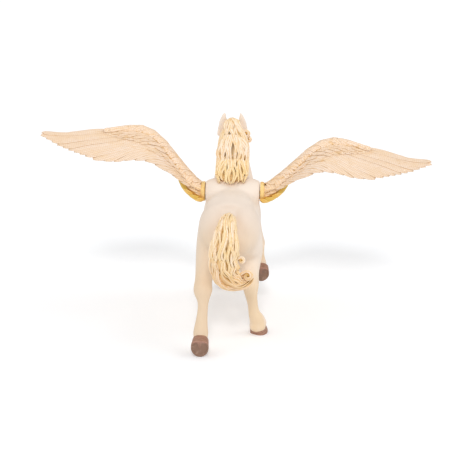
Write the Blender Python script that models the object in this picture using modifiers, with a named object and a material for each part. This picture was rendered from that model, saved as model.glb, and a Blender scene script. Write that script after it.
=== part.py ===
"""Winged horse figurine, about 216 mm across the wings, moulded in solid vinyl.

The horse faces +Y and stands on z = 0. It is three mouldings: the body with its mane, tail and hooves,
and two wings, each with a flange that seats on a flat pad at the shoulder and a peg that enters a socket.
"""

import math

import bmesh
import bpy
from mathutils import Matrix, Vector

MM = 0.001

# Body. Heights are above the ground and lengths run forward from the middle of the back.
CROUP_HEIGHT = 76.5 * MM
BACK_HEIGHT = 73.6 * MM
WITHERS_HEIGHT = 77.0 * MM
BELLY_HEIGHT = 41.0 * MM
HIP_HALF_WIDTH = 15.6 * MM
BARREL_HALF_WIDTH = 16.2 * MM
SHOULDER_HALF_WIDTH = 13.6 * MM
BUTTOCK_Y = -41.0 * MM
HIP_Y = -26.0 * MM
WITHERS_Y = 21.0 * MM
CHEST_Y = 43.0 * MM

# Neck and head
POLL_Y = 38.0 * MM
POLL_HEIGHT = 100.5 * MM
NECK_HALF_WIDTH = 7.6 * MM
HEAD_LENGTH = 29.0 * MM
HEAD_HALF_WIDTH = 6.0 * MM
HEAD_PITCH = math.radians(-52)
EAR_HEIGHT = 10.0 * MM
EYE_RADIUS = 1.3 * MM

# Legs
CANNON_RADIUS = 2.5 * MM
HOOF_HALF_WIDTH = 4.6 * MM
HOOF_HALF_LENGTH = 5.0 * MM
SOLE_RECESS = 0.6 * MM
GROUND_BITE = 0.5 * MM

# Wings. Span positions run outward from the shoulder pad, chord positions run forward from its middle.
WING_LENGTH = 92.5 * MM
WING_PAD_X = 15.3 * MM
WING_ROOT_Y = 18.0 * MM
WING_ROOT_Z = 69.0 * MM
LEFT_WING_RAISE = math.radians(4.6)
RIGHT_WING_RAISE = math.radians(-4.6)
FLANGE_HALF_HEIGHT = 5.4 * MM
FLANGE_HALF_LENGTH = 8.0 * MM
FLANGE_THICKNESS = 2.4 * MM
FEATHERS_START_X = WING_PAD_X + 1.1 * MM
PEG_HALF_HEIGHT = 2.2 * MM
PEG_HALF_LENGTH = 3.6 * MM
PEG_LENGTH = 6.0 * MM
SEAT_GAP = 0.3 * MM
FEATHER_THICKNESS = 1.1 * MM
FEATHER_TILT = 1.0 * MM
FEATHER_BOW = 0.05

# Surface resolution
FLESH_VOXEL = 0.8 * MM
BODY_VOXEL = 0.5 * MM
WING_VOXEL = 0.42 * MM
BODY_TRIANGLES = 5150
WING_TRIANGLES = 2450
CREASE_ANGLE = math.radians(42)

X_AXIS = Vector((1, 0, 0))
Y_AXIS = Vector((0, 1, 0))

POLL = Vector((0, POLL_Y, POLL_HEIGHT))
MANE_END = Vector((0, WITHERS_Y - 8 * MM, WITHERS_HEIGHT - 1.4 * MM))
DOCK = Vector((0, BUTTOCK_Y, CROUP_HEIGHT))


def clear_scene():
    for obj in list(bpy.data.objects):
        bpy.data.objects.remove(obj)


def at(x, y, z):
    """A point given in millimetres."""
    return Vector((x, y, z)) * MM


def new_object(name, mesh):
    obj = bpy.data.objects.new(name, mesh)
    bpy.context.scene.collection.objects.link(obj)
    return obj


def from_bmesh(name, bm):
    bmesh.ops.recalc_face_normals(bm, faces=bm.faces)
    mesh = bpy.data.meshes.new(name)
    bm.to_mesh(mesh)
    bm.free()
    return new_object(name, mesh)


def evaluated_mesh(obj):
    bpy.context.view_layer.update()
    graph = bpy.context.evaluated_depsgraph_get()
    mesh = bpy.data.meshes.new_from_object(obj.evaluated_get(graph))
    mesh.transform(obj.matrix_world)
    return mesh


def joined(name, objects):
    """One object that holds all these shapes, which are removed."""
    bm = bmesh.new()
    for obj in objects:
        mesh = evaluated_mesh(obj)
        bm.from_mesh(mesh)
        bpy.data.meshes.remove(mesh)
        bpy.data.objects.remove(obj)
    mesh = bpy.data.meshes.new(name)
    bm.to_mesh(mesh)
    bm.free()
    return new_object(name, mesh)


def fuse(obj, voxel, smoothing):
    """Blends overlapping shapes into one skin, like clay, and smooths the creases between them."""
    remesh = obj.modifiers.new("fuse", "REMESH")
    remesh.mode = "VOXEL"
    remesh.voxel_size = voxel
    smooth = obj.modifiers.new("smooth", "SMOOTH")
    smooth.factor = 0.5
    smooth.iterations = smoothing


def settle(obj):
    """Applies the modifiers so far, so that the heavy ones run once."""
    mesh = evaluated_mesh(obj)
    obj.modifiers.clear()
    obj.data = mesh


def thin_out(obj, triangles):
    """Reduces the skin to about this many triangles, keeping the carved edges."""
    settle(obj)
    count = sum(len(face.vertices) - 2 for face in obj.data.polygons)
    decimate = obj.modifiers.new("thin_out", "DECIMATE")
    decimate.ratio = min(1.0, triangles / count)
    settle(obj)
    for face in obj.data.polygons:
        face.use_smooth = True
    obj.data.set_sharp_from_angle(angle=CREASE_ANGLE)


def combine(obj, tools, operation):
    """Cuts or adds the tools, which are kept out of the render in their own collection."""
    for tool in tools:
        tool.hide_render = True
        tool.display_type = "WIRE"
        bpy.context.scene.collection.objects.unlink(tool)
        bpy.data.collections["tools"].objects.link(tool)
        boolean = obj.modifiers.new(tool.name, "BOOLEAN")
        boolean.operation = operation
        boolean.solver = "EXACT"
        boolean.object = tool


def spline(rows, steps):
    """Rows of numbers resampled along a Catmull-Rom curve, with this many steps between two rows."""
    made = []
    last = len(rows) - 1
    for i in range(last):
        a, b, c, d = (rows[min(max(k, 0), last)] for k in (i - 1, i, i + 1, i + 2))
        for step in range(steps):
            t = step / steps
            made.append(tuple(
                q + 0.5 * t * (r - p + t * (2 * p - 5 * q + 4 * r - s + t * (3 * q - p - 3 * r + s)))
                for p, q, r, s in zip(a, b, c, d)
            ))
    made.append(tuple(rows[last]))
    return made


def looked_up(rows, x):
    """The row at x between rows sorted by their first number, without that number."""
    x = min(max(x, rows[0][0]), rows[-1][0])
    for low, high in zip(rows, rows[1:]):
        if x <= high[0]:
            share = (x - low[0]) / (high[0] - low[0])
            return [a + (b - a) * share for a, b in zip(low[1:], high[1:])]


def skin(name, rings):
    """A closed skin over rings of points, one ring after the other."""
    bm = bmesh.new()
    loops = [[bm.verts.new(point) for point in ring] for ring in rings]
    for first, second in zip(loops, loops[1:]):
        for k in range(len(first)):
            after = (k + 1) % len(first)
            bm.faces.new((first[k], first[after], second[after], second[k]))
    bm.faces.new(loops[0])
    bm.faces.new(loops[-1])
    return from_bmesh(name, bm)


def oval(centre, side, front, half_width, front_radius, back_radius, sides, power=2.0):
    """An oval ring, whose front and back halves may differ in depth."""
    points = []
    for k in range(sides):
        angle = math.tau * k / sides
        across = math.copysign(abs(math.cos(angle)) ** (2 / power), math.cos(angle)) * half_width
        along = math.copysign(abs(math.sin(angle)) ** (2 / power), math.sin(angle))
        along *= front_radius if along > 0 else back_radius
        points.append(centre + side * across + front * along)
    return points


def loft(name, rows, sides=20, steps=4, power=2.0):
    """A limb or trunk over oval rings. A row is x, y, z, half width, front radius, back radius."""
    rows = spline(rows, steps)
    centres = [Vector(row[:3]) for row in rows]
    rings = []
    for i, row in enumerate(rows):
        tangent = (centres[min(i + 1, len(rows) - 1)] - centres[max(i - 1, 0)]).normalized()
        side = (X_AXIS - tangent * tangent.x).normalized()
        rings.append(oval(centres[i], side, side.cross(tangent), row[3], row[4], row[5], sides, power))
    return skin(name, rings)


def strand(name, points, half_width, half_depth, outward, sides=8):
    """A lock of hair along these points, broad in the middle and pointed at the end."""
    centres = [Vector(point) for point in spline(points, 4)]
    rings = []
    for i, centre in enumerate(centres):
        tangent = (centres[min(i + 1, len(centres) - 1)] - centres[max(i - 1, 0)]).normalized()
        outward = (outward - tangent * outward.dot(tangent)).normalized()
        side = tangent.cross(outward)
        share = i / (len(centres) - 1)
        taper = min(1.0, 0.55 + 1.6 * share) * math.sqrt(max(1 - share**2.4, 0.012))
        depth = half_depth * max(taper, 0.3)
        rings.append(oval(centre, side, outward, half_width * taper, depth, depth, sides))
    return skin(name, rings)


def ellipsoid(name, centre, radii, pitch=0.0, yaw=0.0):
    """A muscle or a bulge. Pitch turns it about X, then yaw about Z."""
    bm = bmesh.new()
    bmesh.ops.create_uvsphere(bm, u_segments=20, v_segments=12, radius=1.0)
    turn = Matrix.Rotation(yaw, 4, "Z") @ Matrix.Rotation(pitch, 4, "X")
    placed = Matrix.Translation(centre) @ turn @ Matrix.Diagonal((*radii, 1.0))
    bmesh.ops.transform(bm, matrix=placed, verts=bm.verts)
    return from_bmesh(name, bm)


def plug(name, turn, x_from, x_to, half_length, half_height, rounding=0.0):
    """An oval block along X at the wing root, with an optional rounded outer edge."""
    outer = x_to - rounding * 0.35
    rings = []
    for x, inset in ((x_from, 0.0), (outer, 0.0), (x_to, rounding)):
        rings.append(oval(
            Vector((turn * x, WING_ROOT_Y, WING_ROOT_Z)),
            Y_AXIS,
            Vector((0, 0, 1)),
            half_length - inset,
            half_height - inset,
            half_height - inset,
            32,
        ))
    return skin(name, rings)


def trunk():
    """Rump, barrel and chest, as egg-shaped rings from the buttocks forward."""
    top, low, wide = CROUP_HEIGHT, BELLY_HEIGHT, HIP_HALF_WIDTH
    sections = [
        # y, top, bottom, half width
        (BUTTOCK_Y, top - 9 * MM, low + 17 * MM, wide * 0.34),
        (BUTTOCK_Y + 2.5 * MM, top - 5 * MM, low + 11 * MM, wide * 0.68),
        (BUTTOCK_Y + 7 * MM, top - 1.6 * MM, low + 5 * MM, wide * 0.90),
        (HIP_Y, top, low + 3 * MM, wide * 0.98),
        (HIP_Y + 8 * MM, top + 0.2 * MM, low + 3 * MM, wide * 0.98),
        (HIP_Y * 0.3, (top + BACK_HEIGHT) / 2, low + 2.4 * MM, BARREL_HALF_WIDTH * 0.93),
        (2 * MM, BACK_HEIGHT, low + 0.8 * MM, BARREL_HALF_WIDTH * 0.99),
        (11 * MM, BACK_HEIGHT + 0.8 * MM, low, BARREL_HALF_WIDTH),
        (WITHERS_Y, WITHERS_HEIGHT, low + 1 * MM, BARREL_HALF_WIDTH * 0.92),
        (WITHERS_Y + 8 * MM, WITHERS_HEIGHT - 1 * MM, low + 3 * MM, SHOULDER_HALF_WIDTH),
        (CHEST_Y - 7 * MM, WITHERS_HEIGHT - 4.5 * MM, low + 6 * MM, SHOULDER_HALF_WIDTH * 0.86),
        (CHEST_Y - 2 * MM, WITHERS_HEIGHT - 9 * MM, low + 10 * MM, SHOULDER_HALF_WIDTH * 0.62),
        (CHEST_Y, WITHERS_HEIGHT - 13 * MM, low + 15 * MM, SHOULDER_HALF_WIDTH * 0.3),
    ]
    rows = []
    for y, high, bottom, half_width in sections:
        middle = high * 0.48 + bottom * 0.52
        rows.append((0, y, middle, half_width, high - middle, middle - bottom))
    return loft("trunk", rows, sides=28, power=2.25)


def neck():
    """From deep in the chest up to the poll. The front radius of a ring is its crest."""
    base = Vector((0, WITHERS_Y + 5 * MM, WITHERS_HEIGHT - 13 * MM))
    reach = POLL - base
    sections = [
        # forward share, upward share, half width, crest, throat, in neck half widths
        (0.00, 0.00, 1.60, 2.10, 2.10),
        (0.38, 0.22, 1.35, 1.75, 1.90),
        (0.68, 0.44, 1.08, 1.45, 1.55),
        (0.86, 0.66, 0.86, 1.20, 1.25),
        (0.96, 0.84, 0.74, 1.00, 1.05),
        (1.00, 0.99, 0.64, 0.74, 0.80),
    ]
    rows = []
    for forward, upward, wide, crest, throat in sections:
        centre = (0, base.y + reach.y * forward, base.z + reach.z * upward)
        rows.append((*centre, *(NECK_HALF_WIDTH * radius for radius in (wide, crest, throat))))
    return loft("neck", rows, sides=24)


def on_head(along, forehead, side=0.0):
    """A point on the head: a share of its length from the poll, and distances off its axis."""
    axis = Vector((0, math.cos(HEAD_PITCH), math.sin(HEAD_PITCH)))
    normal = Vector((0, -math.sin(HEAD_PITCH), math.cos(HEAD_PITCH)))
    return POLL + axis * HEAD_LENGTH * along + normal * forehead + X_AXIS * side


def head():
    """Skull, cheeks, brows, nose and lips. The front radius of a ring is the forehead side."""
    sections = [
        # share of the length, half width, forehead, jaw, in head half widths
        (-0.10, 0.62, 0.70, 0.66),
        (0.06, 0.92, 0.98, 1.05),
        (0.20, 1.00, 1.06, 1.38),
        (0.36, 0.94, 1.00, 1.42),
        (0.52, 0.74, 0.84, 1.08),
        (0.68, 0.57, 0.70, 0.82),
        (0.82, 0.54, 0.62, 0.74),
        (0.92, 0.60, 0.58, 0.76),
        (0.99, 0.52, 0.44, 0.66),
        (1.04, 0.28, 0.20, 0.34),
    ]
    rows = []
    for along, wide, forehead, jaw in sections:
        radii = (HEAD_HALF_WIDTH * radius for radius in (wide, forehead, jaw))
        rows.append((*on_head(along, 0), *radii))
    made = [loft("skull", rows, sides=24)]
    made.append(ellipsoid("chin", on_head(0.90, -4.0 * MM), at(2.2, 2.4, 1.7), HEAD_PITCH))
    for turn in (-1, 1):
        cheek = on_head(0.25, -2.8 * MM, turn * 3.3 * MM)
        brow = on_head(0.24, 3.6 * MM, turn * 3.9 * MM)
        made.append(ellipsoid("cheek", cheek, at(2.5, 5.6, 5.0), HEAD_PITCH))
        made.append(ellipsoid("brow", brow, at(1.9, 2.9, 1.9), HEAD_PITCH))
    return made


def ears_and_eyes():
    """Pointed ears with a hollow front, and round eyes under the brows."""
    made = []
    for turn in (-1, 1):
        base = on_head(0.03, 1.2 * MM, turn * 4.9 * MM)
        lean = Vector((turn * 0.01, -0.06, 1.0))
        ear = []
        for share, wide in ((-0.15, 1.5), (0.15, 1.9), (0.45, 2.1), (0.75, 1.5), (1.0, 0.35)):
            ear.append((*(base + lean * EAR_HEIGHT * share), wide * MM, wide * 0.45 * MM, wide * 0.7 * MM))
        made.append(loft("ear", ear, sides=12, steps=2))
        eye = on_head(0.27, 1.6 * MM, turn * 5.1 * MM)
        made.append(ellipsoid("eye", eye, (EYE_RADIUS * 0.8, EYE_RADIUS * 1.2, EYE_RADIUS), HEAD_PITCH))
        nostril = on_head(0.93, 1.4 * MM, turn * 2.5 * MM)
        made.append(ellipsoid("nostril", nostril, at(1.2, 1.7, 1.2), HEAD_PITCH))
    return made


# Each leg runs from the trunk down to inside its hoof, as x, y, z in millimetres and then
# half width, front and back radius in cannon radii.
LEFT_HIND = [
    (-9.0, -24.0, 61.0, 3.10, 5.20, 5.60),
    (-10.6, -24.5, 53.0, 2.90, 4.60, 4.80),
    (-11.9, -26.5, 46.0, 2.55, 3.30, 3.70),
    (-12.8, -30.5, 39.5, 2.20, 2.40, 2.60),
    (-13.6, -35.5, 33.8, 1.90, 1.75, 1.95),
    (-14.1, -39.8, 29.2, 2.10, 1.65, 2.15),
    (-14.4, -42.6, 24.4, 1.30, 1.35, 1.45),
    (-15.0, -45.6, 18.6, 1.18, 1.05, 1.10),
    (-15.3, -48.6, 13.6, 1.34, 1.20, 1.25),
    (-15.2, -50.6, 10.4, 1.50, 1.38, 1.48),
    (-14.8, -52.6, 7.8, 1.42, 1.20, 1.30),
    (-14.4, -54.4, 6.0, 1.45, 1.30, 1.40),
]
RIGHT_HIND = [
    (8.6, -24.0, 61.0, 3.05, 5.20, 5.60),
    (10.2, -21.0, 53.0, 2.85, 4.70, 4.90),
    (10.8, -18.6, 46.0, 2.70, 3.50, 3.80),
    (10.7, -19.6, 39.5, 2.45, 2.60, 2.70),
    (11.1, -23.4, 33.8, 1.98, 1.85, 2.00),
    (11.3, -27.2, 28.8, 1.80, 1.65, 2.10),
    (11.4, -28.0, 24.0, 1.36, 1.40, 1.45),
    (12.0, -26.8, 18.0, 1.04, 1.10, 1.10),
    (12.5, -25.4, 12.6, 1.12, 1.15, 1.20),
    (13.0, -24.4, 9.6, 1.36, 1.35, 1.45),
    (14.2, -23.0, 7.0, 1.15, 1.20, 1.30),
    (15.2, -21.9, 4.6, 1.25, 1.30, 1.40),
]
LEFT_FORE = [
    (-8.6, 25.0, 60.0, 2.30, 4.40, 4.60),
    (-9.4, 26.2, 52.0, 2.10, 3.50, 3.80),
    (-8.8, 29.2, 44.0, 1.70, 2.35, 2.55),
    (-7.8, 33.4, 36.0, 1.42, 1.70, 1.80),
    (-6.8, 37.2, 29.6, 1.28, 1.40, 1.45),
    (-6.3, 39.2, 25.6, 1.42, 1.55, 1.35),
    (-5.9, 41.0, 21.6, 1.12, 1.20, 1.20),
    (-5.4, 44.0, 16.0, 0.95, 1.05, 1.05),
    (-5.0, 46.4, 11.6, 1.05, 1.15, 1.15),
    (-4.8, 47.8, 9.0, 1.28, 1.30, 1.45),
    (-4.6, 49.4, 6.6, 1.12, 1.20, 1.25),
    (-4.4, 50.8, 4.4, 1.25, 1.30, 1.40),
]
RIGHT_FORE = [
    (8.6, 25.0, 60.0, 2.30, 4.40, 4.60),
    (10.2, 25.6, 52.0, 2.15, 3.60, 3.80),
    (11.8, 29.2, 45.4, 1.80, 2.50, 2.60),
    (13.2, 34.2, 39.6, 1.50, 1.80, 1.90),
    (14.4, 38.4, 35.0, 1.32, 1.50, 1.50),
    (15.0, 40.0, 31.6, 1.42, 1.60, 1.40),
    (15.4, 38.4, 29.2, 1.15, 1.25, 1.20),
    (15.8, 34.2, 26.6, 0.95, 1.05, 1.05),
    (16.1, 30.2, 24.2, 1.08, 1.15, 1.15),
    (16.3, 27.8, 22.8, 1.30, 1.30, 1.45),
    (16.4, 25.4, 21.0, 1.15, 1.20, 1.25),
    (16.4, 23.6, 19.6, 1.25, 1.30, 1.40),
]

# Hooves, as the coronet's centre, the sole's centre and the way the toe points.
LEFT_HIND_HOOF = (at(-14.3, -54.2, 6.0), at(-14.4, -59.2, 4.2), Vector((0.0, 0.1, -1.0)))
RIGHT_HIND_HOOF = (at(15.1, -22.0, 5.0), at(16.4, -20.4, -GROUND_BITE / MM), Vector((0.64, 0.77, 0.0)))
LEFT_FORE_HOOF = (at(-4.4, 50.6, 4.9), at(-4.2, 52.4, -GROUND_BITE / MM), Vector((0.05, 1.0, 0.0)))
RIGHT_FORE_HOOF = (at(16.4, 23.8, 20.6), at(16.4, 18.8, 19.1), Vector((0.0, 0.3, -1.0)))


def leg(name, joints):
    rows = []
    for x, y, z, *radii in joints:
        rows.append((*at(x, y, z), *(CANNON_RADIUS * radius for radius in radii)))
    return loft(name, rows, sides=18)


def muscles():
    """Bulges that show through the skin, and the bosses that carry the wings."""
    made = []
    for turn in (-1, 1):
        made.append(ellipsoid("haunch", at(turn * 7.6, -27.5, 60.0), at(9.1, 12.8, 14.5), 0.25))
        made.append(ellipsoid("croup", at(turn * 5.8, -22, 68), at(8.0, 13, 8.0), 0.05))
        made.append(ellipsoid("shoulder", at(turn * 7.2, 29, 60), at(6.6, 9.0, 13.0), -0.5))
        made.append(ellipsoid("breast", at(turn * 4.6, 37, 56), at(5.2, 6.0, 7.5), -0.2))
        made.append(wing_boss(turn))
    return made


def heel_bulbs():
    """The soft heels behind the two hooves that stand flat."""
    made = []
    for coronet, _, toe in (RIGHT_HIND_HOOF, LEFT_FORE_HOOF):
        centre = coronet - toe * 2.9 * MM - Vector((0, 0, 1.9)) * MM
        made.append(ellipsoid("heel", centre, at(3.5, 3.0, 2.7)))
    return made


def wing_boss(turn):
    """The shoulder's swelling that narrows outward to the pad for a wing."""
    rings = []
    for share, half_length, half_height in (
        (0.20, 1.70, 1.36),
        (0.45, 1.70, 1.40),
        (0.65, 1.55, 1.36),
        (0.82, 1.34, 1.24),
        (0.96, 1.14, 1.13),
        (1.07, 1.02, 1.05),
    ):
        centre = Vector((turn * WING_PAD_X * share, WING_ROOT_Y, WING_ROOT_Z))
        height = FLANGE_HALF_HEIGHT * half_height
        length = FLANGE_HALF_LENGTH * half_length
        rings.append(oval(centre, Y_AXIS, Vector((0, 0, 1)), length, height, height, 32))
    return skin("boss", rings)


def hoof_frame(coronet, sole, toe):
    """The hoof's axis, its toe direction square to the axis, and its side."""
    axis = (sole - coronet).normalized()
    toe = (toe - axis * toe.dot(axis)).normalized()
    return axis, toe, toe.cross(axis)


def hoof(coronet, sole, toe):
    """A flared hoof from its coronet down to its sole."""
    toe, side = hoof_frame(coronet, sole, toe)[1:]
    sections = [
        # share from coronet to sole, half width, toe reach, heel reach
        (-0.06, 0.66, 0.62, 0.66),
        (0.02, 0.80, 0.74, 0.84),
        (0.30, 0.86, 0.86, 0.88),
        (0.72, 0.95, 1.02, 0.93),
        (0.94, 1.00, 1.12, 0.96),
        (1.00, 0.97, 1.09, 0.93),
    ]
    rings = []
    for share, wide, toe_reach, heel_reach in sections:
        radii = (wide * HOOF_HALF_WIDTH, toe_reach * HOOF_HALF_LENGTH, heel_reach * HOOF_HALF_LENGTH)
        rings.append(oval(coronet.lerp(sole, share), side, toe, *radii, 24, 2.2))
    return skin("hoof", rings)


def sole_cutter(name, coronet, sole, toe):
    """The hollow of a raised sole, which leaves its rim and a wedge-shaped frog at the heel."""
    axis, toe, side = hoof_frame(coronet, sole, toe)
    half_width = HOOF_HALF_WIDTH * 0.74
    half_length = HOOF_HALF_LENGTH * 0.76
    outline = oval(Vector((0, 0, 0)), side, toe, half_width, half_length * 1.1, half_length * 0.9, 24)
    heel = 18
    outline[heel - 2] = outline[heel - 2] * 0.9
    outline[heel - 1] = side * half_width * -0.34 - toe * half_length * 0.72
    outline[heel] = toe * half_length * 0.30
    outline[heel + 1] = side * half_width * 0.34 - toe * half_length * 0.72
    outline[heel + 2] = outline[heel + 2] * 0.9
    rings = []
    for depth in (-SOLE_RECESS, 2 * SOLE_RECESS):
        rings.append([sole + axis * depth + point for point in outline])
    return skin(name, rings)


# How far the crest lies forward of and above the straight line from the poll to the mane's end, in
# millimetres, at even steps along it.
CREST = [(-0.5, 4.1), (-0.2, 6.9), (0.5, 5.0), (1.7, 3.0), (2.3, 1.1), (1.8, 0.4), (0.0, 0.0)]

# How far the mane's bed of hair reaches to the side of the crest and out from it, at shares of its length.
MANE_BED = [
    (0.00, 3.4, 2.0),
    (0.15, 4.6, 2.2),
    (0.33, 6.4, 2.0),
    (0.50, 7.7, 1.8),
    (0.70, 8.4, 1.6),
    (0.90, 8.0, 1.2),
    (1.00, 6.4, 0.9),
]


def crest_point(share):
    """A point on the crest, counted as a share of the way from the poll to the withers."""
    forward, up = looked_up([(i / (len(CREST) - 1), *row) for i, row in enumerate(CREST)], share)
    return POLL.lerp(MANE_END, share) + at(0, forward, up)


def on_mane(share, degrees, lift=0.0):
    """A point on the mane: a share of the crest, an angle round it from its top, and a lift in mm."""
    tangent = (crest_point(min(share + 0.04, 1.0)) - crest_point(max(share - 0.04, 0.0))).normalized()
    outward = tangent.cross(X_AXIS)
    wide, deep = looked_up(MANE_BED, share)
    angle = math.radians(degrees)
    across = X_AXIS * math.sin(angle) * (wide + lift) * MM
    return crest_point(share) + across + outward * math.cos(angle) * (deep + lift) * MM


def mane_lock(stops, wave, phase):
    """A lock laid on the mane through these stops, as share, angle and lift, with a wave of its own."""
    points = []
    smooth = spline(stops, 2)
    for i, (share, degrees, lift) in enumerate(smooth):
        sway = wave * math.sin(phase + 9.0 * i / (len(smooth) - 1))
        points.append(on_mane(share, degrees + sway, lift))
    outward = (points[1] - crest_point(stops[0][0]) + at(0, -0.4, 0.2)).normalized()
    return strand("mane_lock", points, 1.3 * MM, 1.0 * MM, outward)


def mane():
    """Locks in four layers: down both sides, a fan over the withers, two lobes and a tuft at the poll."""
    bed = []
    for share, wide, deep in MANE_BED:
        bed.append((*crest_point(share), wide * MM, 3.6 * MM, deep * MM))
    made = [loft("mane_bed", bed, sides=20)]
    for turn in (-1, 1):
        for k in range(5):
            made.append(side_lock(turn, k))
        for k in range(5):
            made.append(fan_lock(turn, k))
        for k in range(5):
            made.append(lobe_lock(turn, k))
        made.append(forelock(turn))
    for k in range(5):
        made.append(poll_lock(k - 2))
    made.append(ear_curl())
    return made


def side_lock(turn, k):
    """A lock that hangs down the side of the neck, from behind the ear to the shoulder."""
    stops = [
        (0.10 + 0.024 * k, turn * (46 + 10 * k), -0.2),
        (0.32, turn * (50 + 14 * k), 0.5),
        (0.56, turn * (54 + 15 * k), 0.7),
        (0.78, turn * (56 + 15 * k), 0.5),
        (0.95 - 0.035 * (k % 3), turn * (58 + 14 * k), 0.2),
    ]
    return mane_lock(stops, 5.0, 2.4 * k)


def fan_lock(turn, k):
    """A lock of the fan that spreads from the parting over the withers."""
    stops = [
        (0.55, turn * (3 + 4 * k), 0.3),
        (0.68, turn * (6 + 10 * k), 0.7),
        (0.84, turn * (7 + 15 * k), 0.8),
        (1.0 - 0.016 * k, turn * (8 + 17 * k), 0.1),
    ]
    return mane_lock(stops, 2.5, 2.1 * k)


def lobe_lock(turn, k):
    """A lock of the two lobes that lie over the middle of the mane."""
    stops = [
        (0.30, turn * (3 + 5 * k), 0.8),
        (0.40, turn * (6 + 11 * k), 1.6),
        (0.52, turn * (8 + 13.6 * k), 1.9),
        (0.61 + 0.016 * k, turn * (10 + 13 * k), 1.3),
        (0.68 + 0.024 * k - 0.006 * k * k, turn * (12 + 11 * k), 0.4),
    ]
    return mane_lock(stops, 3.0, 1.7 * k)


def poll_lock(k):
    """A lock of the tousled tuft that falls back from between the ears."""
    stops = [
        (0.0, k * 29, 0.2),
        (0.08, k * 29, 1.2),
        (0.18, k * 27, 1.5),
        (0.28, k * 26, 1.3),
        (0.35 + 0.02 * (k % 3), k * 25, 0.7),
    ]
    return mane_lock(stops, 8.0, 2.0 * k)


def forelock(turn):
    """A lock that falls forward between the ears over the brow."""
    points = [
        crest_point(0.0) + at(turn * 0.7, 0.6, 0.4),
        on_head(0.06, 6.6 * MM, turn * 1.5 * MM),
        on_head(0.20, 7.1 * MM, turn * 2.4 * MM),
        on_head(0.38, 6.3 * MM, turn * 1.2 * MM),
    ]
    return strand("forelock", points, 1.7 * MM, 1.0 * MM, Vector((0, 0.5, 0.8)))


def rosette(name, start, centre, radius, half_width):
    """A lock that winds up into a tight curl, seen from behind."""
    points = [start]
    for k in range(7):
        angle = math.radians(120 - 70 * k)
        reach = radius * (1 - k / 7.5)
        points.append(centre + at(reach * math.cos(angle), -0.2 * k, reach * math.sin(angle)))
    return strand(name, points, half_width * MM, half_width * MM, Vector((0, -1, 0)))


def ear_curl():
    """The curled lock that stands out below the right ear."""
    return rosette("ear_curl", POLL + at(3.8, -2.0, -0.1), POLL + at(7.2, -3.4, -2.3), 1.7, 1.3)


# The middle of the tail, from the dock to the end that swings right, as x, y and z from the top of the
# buttocks, half width and half depth in millimetres.
TAIL = [
    (-0.4, 5.0, -8.5, 2.4, 2.2),
    (-0.8, -1.0, -6.1, 3.2, 2.8),
    (-1.4, -7.0, -8.1, 4.6, 3.6),
    (-2.0, -11.6, -13.1, 6.1, 4.2),
    (-2.2, -14.4, -19.5, 7.1, 4.6),
    (-1.9, -15.6, -25.9, 7.2, 4.8),
    (-0.4, -15.8, -30.5, 6.6, 4.6),
    (2.6, -15.2, -34.5, 5.6, 4.0),
    (7.0, -14.2, -36.5, 4.1, 3.2),
    (11.6, -13.0, -35.9, 2.9, 2.4),
    (15.2, -12.2, -33.9, 1.4, 1.4),
]


def tail():
    """A full tail that arches from the dock, with wavy locks over it and curls at its end."""
    rows = spline([(*(DOCK + at(*row[:3])), row[3] * MM, row[4] * MM) for row in TAIL], 4)
    bed = []
    outward = Vector((0, 0, 1))
    for i, row in enumerate(rows):
        centre = Vector(row[:3])
        tangent = Vector(rows[min(i + 1, len(rows) - 1)][:3]) - Vector(rows[max(i - 1, 0)][:3])
        tangent.normalize()
        outward = (outward - tangent * outward.dot(tangent)).normalized()
        bed.append(oval(centre, tangent.cross(outward), outward, row[3], row[4], row[4], 20))
    made = [skin("tail_bed", bed)]
    for k in range(7):
        made.append(tail_lock(k))
    made.append(rosette("tail_curl", DOCK + at(3.0, -16.0, -25.9), DOCK + at(7.2, -15.6, -25.3), 1.3, 1.1))
    made.append(rosette("tail_curl", DOCK + at(6.0, -16.6, -32.9), DOCK + at(10.2, -16.4, -33.3), 2.1, 1.4))
    return made


def tail_lock(k):
    """A lock down the back of the tail, from the dock, with a wave of its own."""
    spread = (k - 3) / 3.1
    last = 7 + k % 3 if k > 1 else 6
    points = []
    for i in range(1, last + 1):
        x, y, z, wide, deep = TAIL[i]
        wave = 0.12 * math.sin(1.9 * i + 1.3 * k)
        side = max(-1.0, min(1.0, spread + wave)) * wide
        back = deep * math.sqrt(1 - 0.85 * spread * spread) + 0.5 * (k % 2)
        rise = min(1.0, max(0.0, (i - 1) / 3))
        swing = min(1.0, max(0.0, (i - 6) / 2))
        points.append(DOCK + at(
            x + side * (1 - swing),
            y - back * rise,
            z + back * (1 - rise) * 0.9 - side * swing,
        ))
    return strand("tail_lock", points, 1.25 * MM, 1.4 * MM, Vector((0, 0, 1)))


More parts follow.
